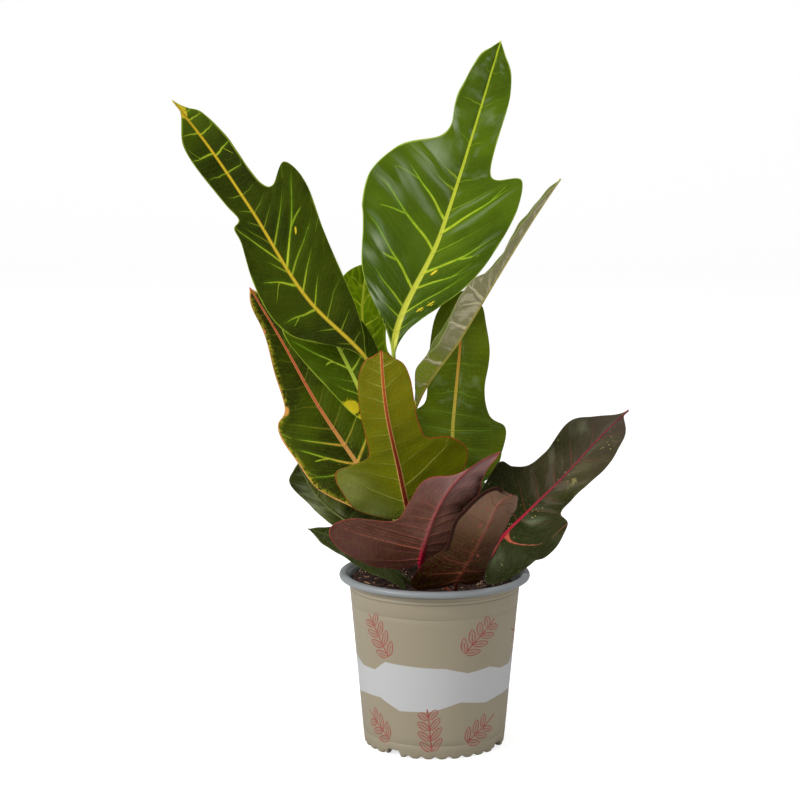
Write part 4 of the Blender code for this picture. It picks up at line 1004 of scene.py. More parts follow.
leafLooks = {
    "leaf_top_tall": {
        "dark": tone(70, 92, 2), "light": tone(84, 109, 5), "halo": tone(76, 118, 8), "veinWidth": 1.7,
        "vein": tone(190, 208, 50), "veinEnd": tone(140, 178, 30), "veinFade": 34.0,
        "midrib": tone(206, 208, 74), "midribTip": tone(186, 204, 44), "midribWidth": (2.4, 0.6),
        # the pale streaks and the soft patches on the left half and along the top margin are painted sheen
        "quilt": 1.8, "coat": 0.2, "coatRough": 0.25, "sheenMottleShare": 0.25, "sheenMottleFrom": 0.56, "stalkTo": 0.05,
        "sheenMottle": tone(156, 172, 146), "fineShare": 0.35, "fineCount": 5.0, "netShare": 0.12,
        "patches": [(1, 2.62, 0.4, 1.9, 1.25), (1, 2.8, 0.5, 1.8, 1.25), (1, 4.3, 0.14, 2.2, 1.2)],
        "patch": tone(226, 200, 50),
        "low": tone(42, 66, 2), "lowTo": 0.42, "lowShare": 0.75, "sheenShade": tone(168, 182, 146),
        "sheenShadeStreak": 1.0, "margin": tone(170, 194, 70), "marginWidth": 0.8, "marginShare": 0.7,
        "sheenShadeSpots": [(-1, 2.4, 0.65, 8, 0.9), (-1, 3.6, 0.8, 8, 0.7), (-1, 5.4, 0.8, 11, 0.6),
                   (-1, 7.2, 0.8, 12, 0.5), (-1, 8.5, 1.0, 6, 0.7), (-1, 9.1, 1.0, 5, 0.6),
                   (-1, 10.5, 0.6, 7, 0.4), (1, 9.5, 0.6, 7, 0.3)],
    },
    "leaf_top_left": {
        "dark": tone(33, 41, 2), "light": tone(51, 63, 2), "halo": tone(66, 98, 8), "veinWidth": 1.5,
        "tip": tone(84, 106, 12), "tipFrom": 0.75, "tipShare": 0.7, "netShare": 0.12, "net": tone(66, 92, 20),
        "vein": tone(182, 196, 46), "veinEnd": tone(128, 156, 28), "fineShare": 0.15,
        "fine": tone(88, 118, 22), "fineCount": 5.0, "midrib": tone(200, 180, 50),
        "midribTip": tone(206, 178, 36), "midribWidth": (1.5, 0.9),
        "patches": [(1, 6.1, 0.45, 2.2, 0.9), (0, 13.3, 0.0, 5.0, 1.3), (0, 12.7, 0.0, 3.0, 1.1)],
        "patch": tone(206, 184, 40), "quilt": 1.0, "ribEdge": tone(150, 104, 30), "ribEdgeShare": 0.5,
        "margin": tone(150, 170, 44), "marginWidth": 0.8, "marginShare": 0.6, "marginRagged": 0.4,
    },
    "leaf_top_right": {
        "upper": {"dark": tone(84, 92, 40), "light": tone(98, 104, 56), "margin": tone(150, 152, 104),
                  "midribTip": tone(172, 168, 100)},
        "under": {
            "dark": tone(96, 106, 10), "light": tone(112, 120, 20), "tip": tone(148, 145, 98),
            "low": tone(138, 154, 6), "lowFrom": 0.16, "lowTo": 0.3, "lowShare": 1.0,
            "tipFrom": 0.2, "tipTo": 0.3, "tipShare": 1.0, "vein": tone(224, 214, 168),
            # the pale streaks are painted sheen, together with the underside's own pale mottling
            "veinEnd": tone(224, 216, 176), "veinWidth": 2.5, "veinShare": 1.0, "sheenMottle": tone(208, 200, 164),
            "sheenMottleFrom": 0.46, "sheenMottleShare": 0.8, "sheenMottleStart": 0.26, "midrib": tone(176, 164, 70),
            "midribTip": tone(196, 184, 112), "midribWidth": (1.7, 0.9), "margin": tone(176, 174, 120),
            "fine": tone(128, 124, 96), "fineShare": 0.7, "fineCount": 7.0, "halo": tone(158, 152, 120),
            "haloShare": 0.5, "net": tone(190, 184, 150), "netShare": 0.25, "netScale": 2.2,
            "shineTint": (1.0, 1.0, 0.7, 1.0)},
        "quilt": 0.5,
    },
    "leaf_left": {
        "dark": tone(39, 43, 2), "light": tone(64, 77, 2), "veinWidth": 2.1, "spread": 1.4,
        "vein": tone(214, 164, 62), "veinEnd": tone(160, 186, 40), "veinFade": 24.0, "netShare": 0.1,
        "margin": tone(216, 154, 90), "marginWidth": 0.8, "marginRagged": 0.3, "marginShare": 0.85,
        "hatch": tone(190, 180, 46), "hatchWidth": 4.4, "hatchShare": 0.8, "hatchScale": 420.0,
        "midrib": tone(206, 150, 74), "midribTip": tone(196, 84, 50), "midribFrom": 0.15, "midribTo": 0.55,
        "midribWidth": (1.8, 0.7), "speckShare": 0.6, "speck": tone(130, 150, 30),
        "ribEdge": tone(206, 160, 100), "ribEdgeShare": 0.5, "quilt": 0.8,
        "patches": [(-1, 6.9, 1.0, 4.4, 0.95), (-1, 9.3, 1.0, 4.0, 0.75)],
        "patch": tone(226, 140, 84),
    },
    "leaf_left_inner": {
        "dark": tone(54, 70, 2), "light": tone(62, 80, 2), "veinWidth": 1.4, "spread": 1.8,
        "midrib": tone(180, 196, 70), "midribTip": tone(166, 186, 60), "midribWidth": (1.7, 0.9),
        "patches": [(-1, 2.0, 0.85, 7.5, 1.0), (-1, 1.2, 0.9, 6.5, 0.95)], "patch": tone(206, 186, 34),
        "margin": tone(150, 172, 50), "marginWidth": 0.8, "netShare": 0.12, "fineShare": 0.4,
    },
    "leaf_back_upright": {
        "dark": tone(100, 128, 2), "light": tone(124, 158, 2), "veinWidth": 1.9, "midribWidth": (1.3, 0.8),
        "midrib": tone(220, 232, 50), "vein": tone(216, 232, 50), "veinEnd": tone(190, 216, 40), "quilt": 1.2,
        "net": tone(176, 204, 30), "netShare": 0.4, "netScale": 6.0, "margin": tone(190, 212, 60),
        "fineCount": 2.0, "under": {"netShare": 0.12},
    },
    "leaf_front_middle": {
        "upper": {"midrib": tone(190, 150, 60)}, "stalk": tone(120, 60, 40),
        # the sage patches on the lobe are painted sheen
        "sheenShadeSpots": [(1, 3.0, 0.9, 13, 0.8), (1, 2.0, 0.9, 12, 0.6), (1, 4.2, 0.95, 7, 0.5)],
        "under": {
            "sheenShade": tone(142, 148, 84), "sheenShadeStreak": 0.3,
            "dark": tone(86, 87, 2), "light": tone(106, 107, 2), "tip": tone(112, 100, 10),
            "tipFrom": 0.3, "tipTo": 0.7, "tipShare": 0.6, "low": tone(104, 116, 40), "lowTo": 0.14,
            "lowShare": 0.6, "halo": tone(126, 132, 30), "vein": tone(164, 164, 66),
            "veinEnd": tone(156, 156, 60), "veinWidth": 1.3, "fine": tone(136, 142, 46), "fineShare": 0.22,
            "margin": tone(140, 70, 26), "marginWidth": 0.8, "marginShare": 0.95,
            "midrib": tone(112, 34, 22), "midribTip": tone(170, 76, 36), "midribFrom": 0.3, "midribTo": 0.9,
            "midribWidth": (1.9, 1.0), "stalk": tone(120, 30, 36), "rough": 0.42,
            "ribEdge": tone(196, 150, 84), "ribEdgeShare": 0.9},
    },
    "leaf_right": {
        "dark": tone(62, 76, 2), "light": tone(81, 95, 2), "fineShare": 0.4, "fineCount": 6.0,
        "midrib": tone(176, 170, 66), "midribTip": tone(172, 96, 36), "midribWidth": (1.4, 0.9),
        "veinShare": 0.36, "margin": tone(96, 96, 20), "coat": 0.12, "netShare": 0.12, "quilt": 0.8,
        # pale streaks of painted sheen
        "sheenMottleShare": 0.25, "sheenMottleFrom": 0.56, "sheenMottle": tone(120, 136, 96),
    },
    "leaf_front_mauve": {
        "upper": {"dark": tone(58, 34, 30), "light": tone(70, 44, 36), "midrib": tone(170, 40, 70),
                  "midribTip": tone(146, 66, 70)},
        "stalk": tone(110, 36, 40), "margin": tone(150, 62, 56),
        # the dark patches over the half that lies behind leaf_front_bronze, and the dark low tone at the
        # base, are painted shade
        "sheenShadeSpots": [(-1, 2 + 0.5 * k, 1.0, 16 - 0.8 * k, 1.0) for k in range(15)], "sheenShade": tone(40, 16, 8),
        "under": {
            "sheenShadeShare": 0.95,
            "dark": tone(88, 48, 40), "light": tone(120, 79, 72), "tip": tone(148, 110, 110), "tipFrom": 0.4,
            "tipTo": 0.7, "tipShare": 0.8, "low": tone(70, 28, 18), "lowTo": 0.36, "lowShare": 0.8,
            "halo": tone(124, 78, 64), "vein": tone(204, 106, 84), "veinEnd": tone(172, 98, 80),
            "veinWidth": 1.2, "fine": tone(158, 108, 94), "fineShare": 0.45, "fineCount": 2.0,
            "margin": tone(166, 66, 60), "marginWidth": 0.6, "marginShare": 0.7,
            "midrib": tone(156, 16, 46), "midribTip": tone(140, 72, 70), "midribFrom": 0.06, "midribTo": 0.26,
            "midribWidth": (2.2, 0.4), "stalk": tone(150, 20, 50), "rough": 0.5,
            "shineTint": (1.0, 0.8, 0.7, 1.0), "netShare": 0.1},
    },
    "leaf_front_bronze": {
        "upper": {"dark": tone(50, 34, 24), "light": tone(60, 42, 30), "midrib": tone(150, 50, 50),
                  "midribTip": tone(130, 62, 54)},
        "stalk": tone(90, 36, 30), "margin": tone(66, 28, 20), "marginShare": 0.85,
        # the dark strip along the margin and the dark low tone at the base are painted shade
        "sheenShadeSpots": [(1, 5.6 + 0.5 * k, 1.0, 7.0, 1.6) for k in range(8)],
        "under": {
            "dark": tone(80, 44, 28), "light": tone(100, 70, 46), "tip": tone(130, 98, 82), "tipFrom": 0.4,
            "tipTo": 0.8, "tipShare": 0.8, "low": tone(50, 12, 4), "lowFrom": 0.2, "lowTo": 0.8,
            "lowShare": 1.0, "halo": tone(112, 60, 44), "haloShare": 0.25, "vein": tone(140, 66, 46),
            "veinEnd": tone(112, 62, 44), "veinWidth": 1.1, "fine": tone(138, 96, 68), "fineShare": 0.35,
            "fineCount": 4.0, "midrib": tone(84, 28, 18), "midribTip": tone(156, 74, 64),
            "midribWidth": (1.3, 0.7), "midribShare": 0.4, "stalk": tone(110, 40, 36), "rough": 0.5,
            "sheenShade": tone(36, 12, 10), "patch": tone(150, 72, 66),
            "patches": [(1, 7.0, 0.2, 2.2, 0.75), (1, 5.9, 0.25, 1.8, 0.7),
                        (1, 8.2, 0.3, 1.8, 0.7), (-1, 4.5, 0.3, 2.0, 0.7)],
            "sheenShadeEdge": 2.6,
            "shineTint": (1.0, 0.8, 0.6, 1.0), "netShare": 0.1},
    },
    "leaf_low_right": {
        "dark": tone(34, 38, 8), "light": tone(64, 54, 38), "halo": tone(52, 56, 32), "haloShare": 0.3,
        # the dark low tone at the base is painted shade; the grey-green patches are painted sheen; the pale
        # streaks are painted sheen with the leaf's own pinkish mottling
        "tip": tone(98, 82, 76), "tipFrom": 0.3, "tipTo": 0.9, "tipShare": 0.65, "low": tone(20, 34, 8),
        "lowTo": 0.42, "lowShare": 0.9, "sheenShade": tone(124, 132, 104), "sheenShadeStreak": 0.9,
        "sheenShadeSpots": [(1, 4.6, 0.3, 7, 0.7), (1, 2.6, 0.5, 6, 0.4), (-1, 9.5, 0.6, 9, 0.4),
                   (-1, 7.5, 0.7, 7, 0.3)],
        "net": tone(84, 84, 60), "netShare": 0.15, "fine": tone(80, 80, 54), "fineShare": 0.25,
        "vein": tone(216, 92, 76), "veinEnd": tone(200, 116, 84), "veinWidth": 2.4,
        "midrib": tone(196, 30, 66), "midribTip": tone(140, 40, 66), "midribFrom": 0.05, "midribTo": 0.5,
        "midribWidth": (1.15, 0.4), "sheenMottle": tone(114, 100, 90), "sheenMottleShare": 0.4, "sheenMottleFrom": 0.5,
        "sheenMottleStart": 0.2, "margin": tone(84, 74, 54), "speck": tone(170, 160, 96), "speckShare": 0.8,
        "stalk": tone(150, 60, 60), "under": {"dark": tone(96, 70, 64), "light": tone(112, 84, 76)},
        "quilt": 0.8, "patches": [(1, 8.0, 0.45, 4.5, 0.62), (1, 7.6, 0.5, 3.0, 0.6)],
        "patch": tone(140, 130, 80),
    },
    "leaf_low_back_left": {
        "dark": tone(24, 24, 4), "light": tone(67, 72, 28), "halo": tone(56, 70, 40), "veinShare": 0.12,
        "fineShare": 0.1, "midrib": tone(118, 122, 72), "midribTip": tone(100, 108, 64),
        # the grey patches and pale streaks are painted sheen
        "midribWidth": (0.8, 0.5), "coat": 0.12, "sheenShadeSpots": [(-1, 4.6, 0.5, 11, 0.95)],
        "sheenShade": tone(132, 140, 104), "sheenShadeStreak": 0.7, "margin": tone(110, 110, 60), "netShare": 0.1,
        "sheenMottleShare": 0.5, "sheenMottle": tone(100, 116, 88),
    },
    "leaf_low_left": {
        "dark": tone(20, 22, 4), "light": tone(42, 44, 18), "midrib": tone(44, 56, 30), "veinShare": 0.05,
        # the grey patches and pale streaks are painted sheen
        "sheenShadeSpots": [(-1, 3.5, 0.6, 9, 0.5), (1, 3.5, 0.6, 9, 0.5)], "sheenShade": tone(88, 90, 66),
        "sheenShadeStreak": 0.8, "halo": tone(36, 46, 20), "fine": tone(50, 62, 30), "sheenMottleShare": 0.4,
        "sheenMottle": tone(84, 92, 76), "midribTip": tone(60, 78, 34), "midribWidth": (0.8, 0.4),
        "margin": tone(60, 74, 34), "netShare": 0.1, "stalk": tone(44, 54, 24), "rough": 0.5,
    },
    "leaf_back_low": {
        "dark": tone(44, 50, 30), "light": tone(58, 62, 40), "midrib": tone(170, 50, 70),
        "vein": tone(170, 90, 70), "midribTip": tone(150, 60, 70),
        "under": {"dark": tone(96, 66, 56), "light": tone(112, 80, 68)},
    },
    "leaf_back_right": {
        "dark": tone(46, 74, 16), "light": tone(60, 92, 22), "midrib": tone(206, 150, 70),
        "midribTip": tone(210, 110, 60),
    },
    "leaf_back_left": {
        "dark": tone(48, 80, 14), "light": tone(62, 100, 18), "midrib": tone(206, 180, 70),
        "midribTip": tone(200, 200, 60),
    },
}
for key, own in leafLooks.items():
    leafLooks[key] = {**plainLeaf, **own, "under": {**underGreen, "patches": [], **own.get("under", {})}}

veinGroup = makeVeinGroup()
for leafName in leafShapes:
    buildLeaf(leafName)
print("leaves done")


# pot

potShape = {
    "rimRadius": 65.0, "height": 119.2, "topRadius": 58.4, "footRadius": 48.0, "wall": 1.4,
    "rimDrop": 4.7, "floorHeight": 6.0, "padRadius": 13.0, "segments": 288,
    "scallops": 32, "scallopDepth": 1.8, "notchHeight": 4.0, "notchAngles": (-126, -26, 64, 154),
    "notchWidth": 13.0, "drainRadii": (31.0, 38.0), "drainCount": 8, "drainCells": 9,
    "ringLine": 98.0, "lowLine": 9.5,
}
potLook = {
    "body": tone(150, 139, 116), "bodyLight": tone(158, 148, 125), "band": tone(190, 190, 190),
    "ink": tone(154, 56, 54), "rim": tone(141, 145, 147), "inside": tone(96, 98, 98),
    # painted lines below the rim (height, half width, share, colour): a highlight and a shadow at the groove,
    # a shadow just under the rim
    "paintedRimLines": [(109.7, 0.8, 0.5, tone(180, 168, 146)), (108.6, 0.7, 0.6, tone(118, 106, 84)),
                 (114.0, 1.3, 0.6, tone(84, 80, 72))],
    "bandMiddle": 51.0, "bandPeriod": 111.0, "bandShift": 60.0, "printRadius": 53.0,
    # sprigs: (place round the pot in mm from the front, height, turn in degrees, length)
    "sprigs": [(-40, 84, 34, 31), (30, 85, -40, 30), (-4, 21, 12, 30), (-46, 20, 58, 26), (36, 19, -52, 29),
               (76, 78, 72, 28), (84, 22, 20, 30), (118, 84, -20, 30), (150, 26, 50, 30), (-86, 84, -40, 30),
               (-96, 22, -12, 30), (-140, 84, 30, 30), (-152, 20, -60, 28)],
    "leafletLength": 5.6, "leafletWidth": 2.1, "leafletStep": 7.4, "line": 0.42,
}


def turned(rings, segments, openCells=()):
    # a closed solid from rings of points; openCells are (ring, far ring, segment) of gaps through a wall
    points = [rings[0][0]]
    starts = []
    for ring in rings[1:-1]:
        starts.append(len(points))
        points += list(ring)
    points.append(rings[-1][0])
    end = len(points) - 1
    holes = {(near, s) for near, far, s in openCells} | {(far, s) for near, far, s in openCells}
    faces, owners = [], []
    for s in range(segments):
        after = (s + 1) % segments
        faces += [(0, starts[0] + after, starts[0] + s), (starts[-1] + s, starts[-1] + after, end)]
        owners += [0, len(rings) - 2]
        for ring, (low, high) in enumerate(zip(starts, starts[1:])):
            if (ring, s) not in holes:
                faces.append((low + s, low + after, high + after, high + s))
                owners.append(ring + 1)
    for near, far, s in openCells:
        after = (s + 1) % segments
        a, b, c, d = (starts[k] for k in (near, near + 1, far, far + 1))
        walls = [(a + s, a + after, d + after, d + s), (b + after, b + s, c + s, c + after)]
        if (near, (s - 1) % segments) not in holes:
            walls.append((a + s, b + s, c + s, d + s))
        if (near, after) not in holes:
            walls.append((a + after, d + after, c + after, b + after))
        faces += walls
        owners += [near + 1] * len(walls)
    return np.array(points), faces, owners


def circle(radius, height, segments, centre=(0.0, 0.0)):
    angles = np.arange(segments) * 2 * math.pi / segments
    return np.stack([centre[0] + radius * np.cos(angles), centre[1] + radius * np.sin(angles),
                     np.full(segments, float(height))], 1)


def innerRadius(height):
    p = potShape
    share = (height - p["floorHeight"]) / (p["height"] - p["rimDrop"] - p["floorHeight"])
    return p["footRadius"] + (p["topRadius"] - p["footRadius"]) * share - p["wall"]


def outerRadius(height):
    # the straight part of the pot's side
    p = potShape
    return float(np.interp(height, (6.6, 110.3), (p["footRadius"] + 0.6, p["topRadius"] - 0.5)))


def makeSprigGroup():
    # line drawing of a small sprig: a stem with pairs of pointed leaflets
    scalar = "NodeSocketFloat"
    tree, given, made = newGroup("sprigPrint", "ShaderNodeTree", [
        ("Across", scalar, 0.0), ("Up", scalar, 0.0), ("Turn", scalar, 0.0), ("Length", scalar, 26.0),
        ("Leaflet Length", scalar, 4.0), ("Leaflet Width", scalar, 1.5), ("Step", scalar, 5.0),
        ("Line", scalar, 0.3)], [("Ink", scalar)])
    cosine, sine = calc(tree, "COSINE", given["Turn"]), calc(tree, "SINE", given["Turn"])
    x = calc(tree, "MULTIPLY_ADD", given["Across"], cosine, times(tree, given["Up"], sine))
    y = minus(tree, times(tree, given["Up"], cosine),
              times(tree, given["Across"], sine))
    # the stem bends a little
    x = minus(tree, x, times(tree, calc(tree, "SINE", times(tree, y, 0.09)), 1.4))
    side = unsigned(tree, x)
    y = calc(tree, "ADD", y, times(tree, given["Length"], 0.5))
    inside = times(tree, fade(tree, y, -0.2, 0.2), fade(
        tree, minus(tree, y, given["Length"]), -0.2, 0.2, 1.0, 0.0))
    stem = times(tree, fade(tree, over(tree, side, given["Line"]), 0.9, 1.5, 1.0, 0.0), inside)
    grown = minus(tree, 1.05, calc(tree, "POWER", unsigned(tree, minus(
        tree, over(tree, y, given["Length"]), 0.45)), 2.0))
    ink = stem
    for shift in (0.0, 1.0):
        # the leaflet that starts in this step, then the one from the step below
        cell = calc(tree, "FLOOR", minus(tree, over(tree, y, given["Step"]), shift))
        base = times(tree, cell, given["Step"])
        up = minus(tree, y, base)
        axis = calc(tree, "MULTIPLY_ADD", up, 0.68, times(tree, side, 0.73))
        off = minus(tree, times(tree, up, 0.73), times(tree, side, 0.68))
        long = times(tree, given["Leaflet Length"], grown)
        q = minus(tree, over(tree, axis, long), 1.0)
        rim = times(tree, given["Leaflet Width"], calc(tree, "POWER", calc(
            tree, "MAXIMUM", minus(tree, 1.0, times(tree, q, q)), 0.0), 0.8))
        gap = unsigned(tree, minus(tree, unsigned(tree, off), rim))
        within = fade(tree, unsigned(tree, q), 0.98, 1.02, 1.0, 0.0)
        outline = fade(tree, over(tree, gap, given["Line"]), 0.6, 1.3, 1.0, 0.0)
        centre = fade(tree, over(tree, unsigned(tree, off), given["Line"]), 0.4, 1.0, 1.0, 0.0)
        centre = times(tree, centre, fade(tree, q, 0.35, 0.6, 1.0, 0.0))
        # hatching between the centre line and the outline
        hatch = calc(tree, "FRACT", times(tree, minus(tree, axis, unsigned(tree, off)), 1.05))
        hatch = fade(tree, unsigned(tree, minus(tree, hatch, 0.5)), 0.08, 0.22, 0.55, 0.0)
        hatch = times(tree, hatch, calc(tree, "LESS_THAN", unsigned(tree, off), rim))
        drawn = calc(tree, "MAXIMUM", calc(tree, "MAXIMUM", outline, centre), hatch)
        drawn = times(tree, drawn, within)
        started = calc(tree, "GREATER_THAN", base, -0.5)
        before = calc(tree, "LESS_THAN", calc(tree, "ADD", base, given["Step"]), given["Length"])
        ink = calc(tree, "MAXIMUM", ink, times(tree, drawn, times(tree, started, before)))
    tree.links.new(ink, made["Ink"])
    return tree


def rampOf(tree, value, stops):
    node = put(tree, "ShaderNodeValToRGB", {0: value})
    points = node.color_ramp.elements
    while len(points) < len(stops):
        points.new(0.5)
    for point, (place, level) in zip(points, stops):
        point.position = place
        point.color = (level, level, level, 1.0)
    return node.outputs[0]


def potBodyMaterial():
    made, tree, shader = newMaterial("potPrinted")
    look = potLook
    place = objectPlace(tree)
    parts = put(tree, "ShaderNodeSeparateXYZ", {0: place}).outputs
    angle = calc(tree, "ARCTAN2", parts[0], times(tree, parts[1], -1.0))
    around = times(tree, angle, look["printRadius"])
    height = times(tree, parts[2], 1000.0)
    colour = blendColour(tree, noise(tree, place, 14.0, 3.0), look["body"], look["bodyLight"])
    shifted = calc(tree, "ADD", around, look["bandShift"])
    step = calc(tree, "FRACT", over(tree, shifted, look["bandPeriod"]))
    upper = rampOf(tree, step, [(0.0, 0.35), (0.13, 0.35), (0.22, 0.95), (0.6, 0.8), (0.74, 0.45),
                                (0.9, 0.62), (1.0, 0.35)])
    lower = rampOf(tree, step, [(0.0, 0.45), (0.16, 0.5), (0.31, 0.0), (0.52, 0.08), (0.7, 0.5), (0.88, 0.3),
                                (1.0, 0.45)])
    top = calc(tree, "MULTIPLY_ADD", upper, 12.0, look["bandMiddle"] + 4.0)
    bottom = calc(tree, "MULTIPLY_ADD", lower, 14.0, look["bandMiddle"] - 18.0)
    band = times(tree, fade(tree, minus(tree, top, height), 0.0, 0.3),
                 fade(tree, minus(tree, height, bottom), 0.0, 0.3))
    colour = blendColour(tree, band, colour, look["band"])
    ink = None
    for s, z, turn, length in look["sprigs"]:
        group = put(tree, "ShaderNodeGroup", node_tree=sprigGroup)
        tree.links.new(minus(tree, around, s), group.inputs["Across"])
        tree.links.new(minus(tree, height, z), group.inputs["Up"])
        for key, value in (("Turn", math.radians(turn)), ("Length", length), ("Line", look["line"]),
                           ("Leaflet Length", look["leafletLength"]), ("Leaflet Width", look["leafletWidth"]),
                           ("Step", look["leafletStep"])):
            group.inputs[key].default_value = value
        ink = group.outputs[0] if ink is None else calc(tree, "MAXIMUM", ink, group.outputs[0])
    worn = fade(tree, noise(tree, place, 260.0, 3.0), 0.3, 0.6, 0.65, 0.95)
    colour = blendColour(tree, times(tree, ink, worn), colour, look["ink"])
    # painted light below the rim: a painted highlight over a painted shadow at the groove, and a painted
    # shadow just under the rim
    for line, half, share, shade in look["paintedRimLines"]:
        near = fade(tree, unsigned(tree, minus(tree, height, line)), half * 0.5, half, share, 0.0)
        colour = blendColour(tree, near, colour, shade)
    tree.links.new(colour, shader.inputs["Base Color"])
    roughen(tree, shader, noise(tree, place, 60.0, 3.0), 0.42, 0.52)
    emboss(tree, shader, 0.15, 0.0003, noise(tree, place, 900.0, 2.0))
    return made


def plasticMaterial(name, colour, rough):
    made, tree, shader = newMaterial(name)
    place = objectPlace(tree)
    darker = tuple(c * 0.88 for c in colour[:3]) + (1.0,)
    cloud = fade(tree, noise(tree, place, 30.0, 4.0), 0.3, 0.7)
    tree.links.new(blendColour(tree, cloud, darker, colour), shader.inputs["Base Color"])
    roughen(tree, shader, noise(tree, place, 80.0, 3.0), rough - 0.05, rough + 0.06)
    emboss(tree, shader, 0.12, 0.0003, noise(tree, place, 700.0, 2.0))
    return made


def buildPot():
    p = potShape
    under = p["floorHeight"] - 2.8
    foot = p["footRadius"]
    top = p["height"] - p["rimDrop"]
    rim, high = p["rimRadius"], p["height"]
    line, low = p["ringLine"], p["lowLine"]
    outside = [(p["padRadius"], 0.0), (p["padRadius"] + 0.4, 0.3), (p["padRadius"] + 1.0, under),
               (p["drainRadii"][0], under), (p["drainRadii"][1], under), (foot - 4.6, under),
               (foot - 4.0, 0.4), (foot - 3.4, 0.0), (foot - 0.9, 0.0), (foot - 0.2, 0.5), (foot + 0.1, 2.4)]
    footRings = (6, 7, 8, 9, 10)
    outside += [(foot + 0.5, 6.0), (outerRadius(low) - 0.05, low - 0.5), (outerRadius(low) - 0.3, low),
                (outerRadius(low) + 0.02, low + 0.5)]
    outside += [(outerRadius(h), h) for h in np.linspace(low + 5, line - 4, 12)]
    outside += [(outerRadius(line), line - 0.7), (outerRadius(line) - 0.28, line),
                (outerRadius(line) + 0.12, line + 0.6), (outerRadius(109.6) + 0.1, 109.6), (57.75, 110.4),
                (57.45, 110.9), (57.6, 111.5), (58.2, 111.9), (58.4, 112.5), (p["topRadius"], top - 0.3)]
    printedFrom, greyFrom = 8, len(outside)  # the rings where the printed side and the rim start
    outside += [(p["topRadius"] + 0.3, top), (rim - 2.4, top + 0.1), (rim - 1.1, top + 0.4),
                (rim - 0.3, top + 1.0), (rim, top + 1.9), (rim - 0.05, top + 2.8), (rim - 0.5, top + 3.8),
                (rim - 1.3, top + 4.4), (rim - 2.6, high), (rim - 3.7, high - 0.1), (rim - 4.6, high - 0.5),
                (rim - 5.3, high - 1.2), (rim - 5.7, top + 2.6), (rim - 6.6, top + 1.3)]
    greyTo = len(outside)
    inside = [(innerRadius(h), h) for h in (top, 100, 80, 60, 40, 20, p["floorHeight"] + 1.0)]
    inside += [(innerRadius(p["floorHeight"]) - 1.0, p["floorHeight"]),
               (p["drainRadii"][1], p["floorHeight"]), (p["drainRadii"][0], p["floorHeight"])]
    segments = p["segments"]
    rings = [circle(r, h, segments) for r, h in outside + inside]
    degrees = np.arange(segments) * 360.0 / segments
    wave = p["scallopDepth"] * (0.5 + 0.5 * np.cos(np.radians(degrees * p["scallops"])))**2.4
    notch = np.zeros(segments)
    for at in p["notchAngles"]:
        gone = np.abs((degrees - at + 180) % 360 - 180)
        notch = np.maximum(notch, 1 - smoothStep(gone, p["notchWidth"] / 2 - 1.2, p["notchWidth"] / 2 + 0.4))
    for ring, share in zip(footRings, (0.9, 1.0, 1.0, 1.0, 0.55)):
        rings[ring][:, 2] += share * np.maximum(wave, notch * p["notchHeight"])
    apart = segments // p["drainCount"]
    drains = [(3, len(rings) - 2, hole * apart + k)
              for hole in range(p["drainCount"]) for k in range(p["drainCells"])]
    bottom, floor = np.array([[0.0, 0.0, 0.0]]), np.array([[0.0, 0.0, p["floorHeight"]]])
    points, faces, owners = turned([bottom, *rings, floor], segments, drains)
    materials = [potBodyMaterial(), plasticMaterial("potGrey", potLook["rim"], 0.38),
                 plasticMaterial("potInside", potLook["inside"], 0.5)]
    piece = meshObject("pot_fine", points * mm, faces, materials)
    kind = [0 if printedFrom <= o < greyFrom else (1 if greyFrom <= o < greyTo else 2) for o in owners]
    piece.data.polygons.foreach_set("material_index", kind)
    turnOutward(piece.data)
    piece.data.set_sharp_from_angle(angle=math.radians(50))
    addPiece(piece, "pot")


sprigGroup = makeSprigGroup()
buildPot()
print("pot done")


# soil

soilLook = {
    "gap": 0.5, "bump": 1.6, "rise": 7.0, "riseFrom": 14.0, "riseTo": 44.0, "stemHole": 24.0, "rings": 40,
    "segments": 144, "dark": tone(36, 14, 6), "light": tone(68, 34, 20),
    # bits lying on the soil: (name, how many per square metre, size in mm, stretch, seed, colour)
    "bits": [("soil_crumbs", 260000, 1.5, 1.3, 3, tone(44, 20, 10)),
             ("soil_crumbs_pale", 60000, 1.1, 1.5, 7, tone(84, 52, 32)),
             ("soil_fibres", 15000, 1.0, 5.0, 11, tone(170, 132, 100)),
             ("soil_perlite", 7000, 1.4, 1.2, 17, tone(190, 160, 134))],
}


def waves(x, y, scale):
    # an uneven surface from a few crossed sine waves
    total = 0.0
    for k, (a, b, c) in enumerate(((1.0, 0.3, 0.4), (-0.6, 0.9, 1.7), (0.35, -1.1, 2.9), (0.9, 0.8, 4.1),
                                   (-1.2, 0.2, 5.3))):
        total = total + np.sin((a * x + b * y) * scale * (1 + 0.31 * k) + c) / (1 + 0.4 * k)
    return total / 3.0


def soilHeight(x, y):
    wave = np.sin(0.21 * x + 1.3) * np.cos(0.17 * y) + 0.6 * np.sin(0.37 * y - 0.11 * x)
    heap = smoothStep(-x, soilLook["riseFrom"], soilLook["riseTo"])
    return stemShape["soilTop"] + soilLook["bump"] * 0.5 * wave + soilLook["rise"] * heap


def earthMaterial(name, dark, light, rough=0.9, grain=900.0):
    made, tree, shader = newMaterial(name)
    place = objectPlace(tree)
    colour = blendColour(tree, fade(tree, noise(tree, place, 350.0, 4.0, 0.6), 0.35, 0.65), dark, light)
    tree.links.new(colour, shader.inputs["Base Color"])
    roughen(tree, shader, noise(tree, place, 200.0, 3.0), rough - 0.1, rough)
    emboss(tree, shader, 0.8, 0.0006, noise(tree, place, grain, 4.0, 0.6))
    return made


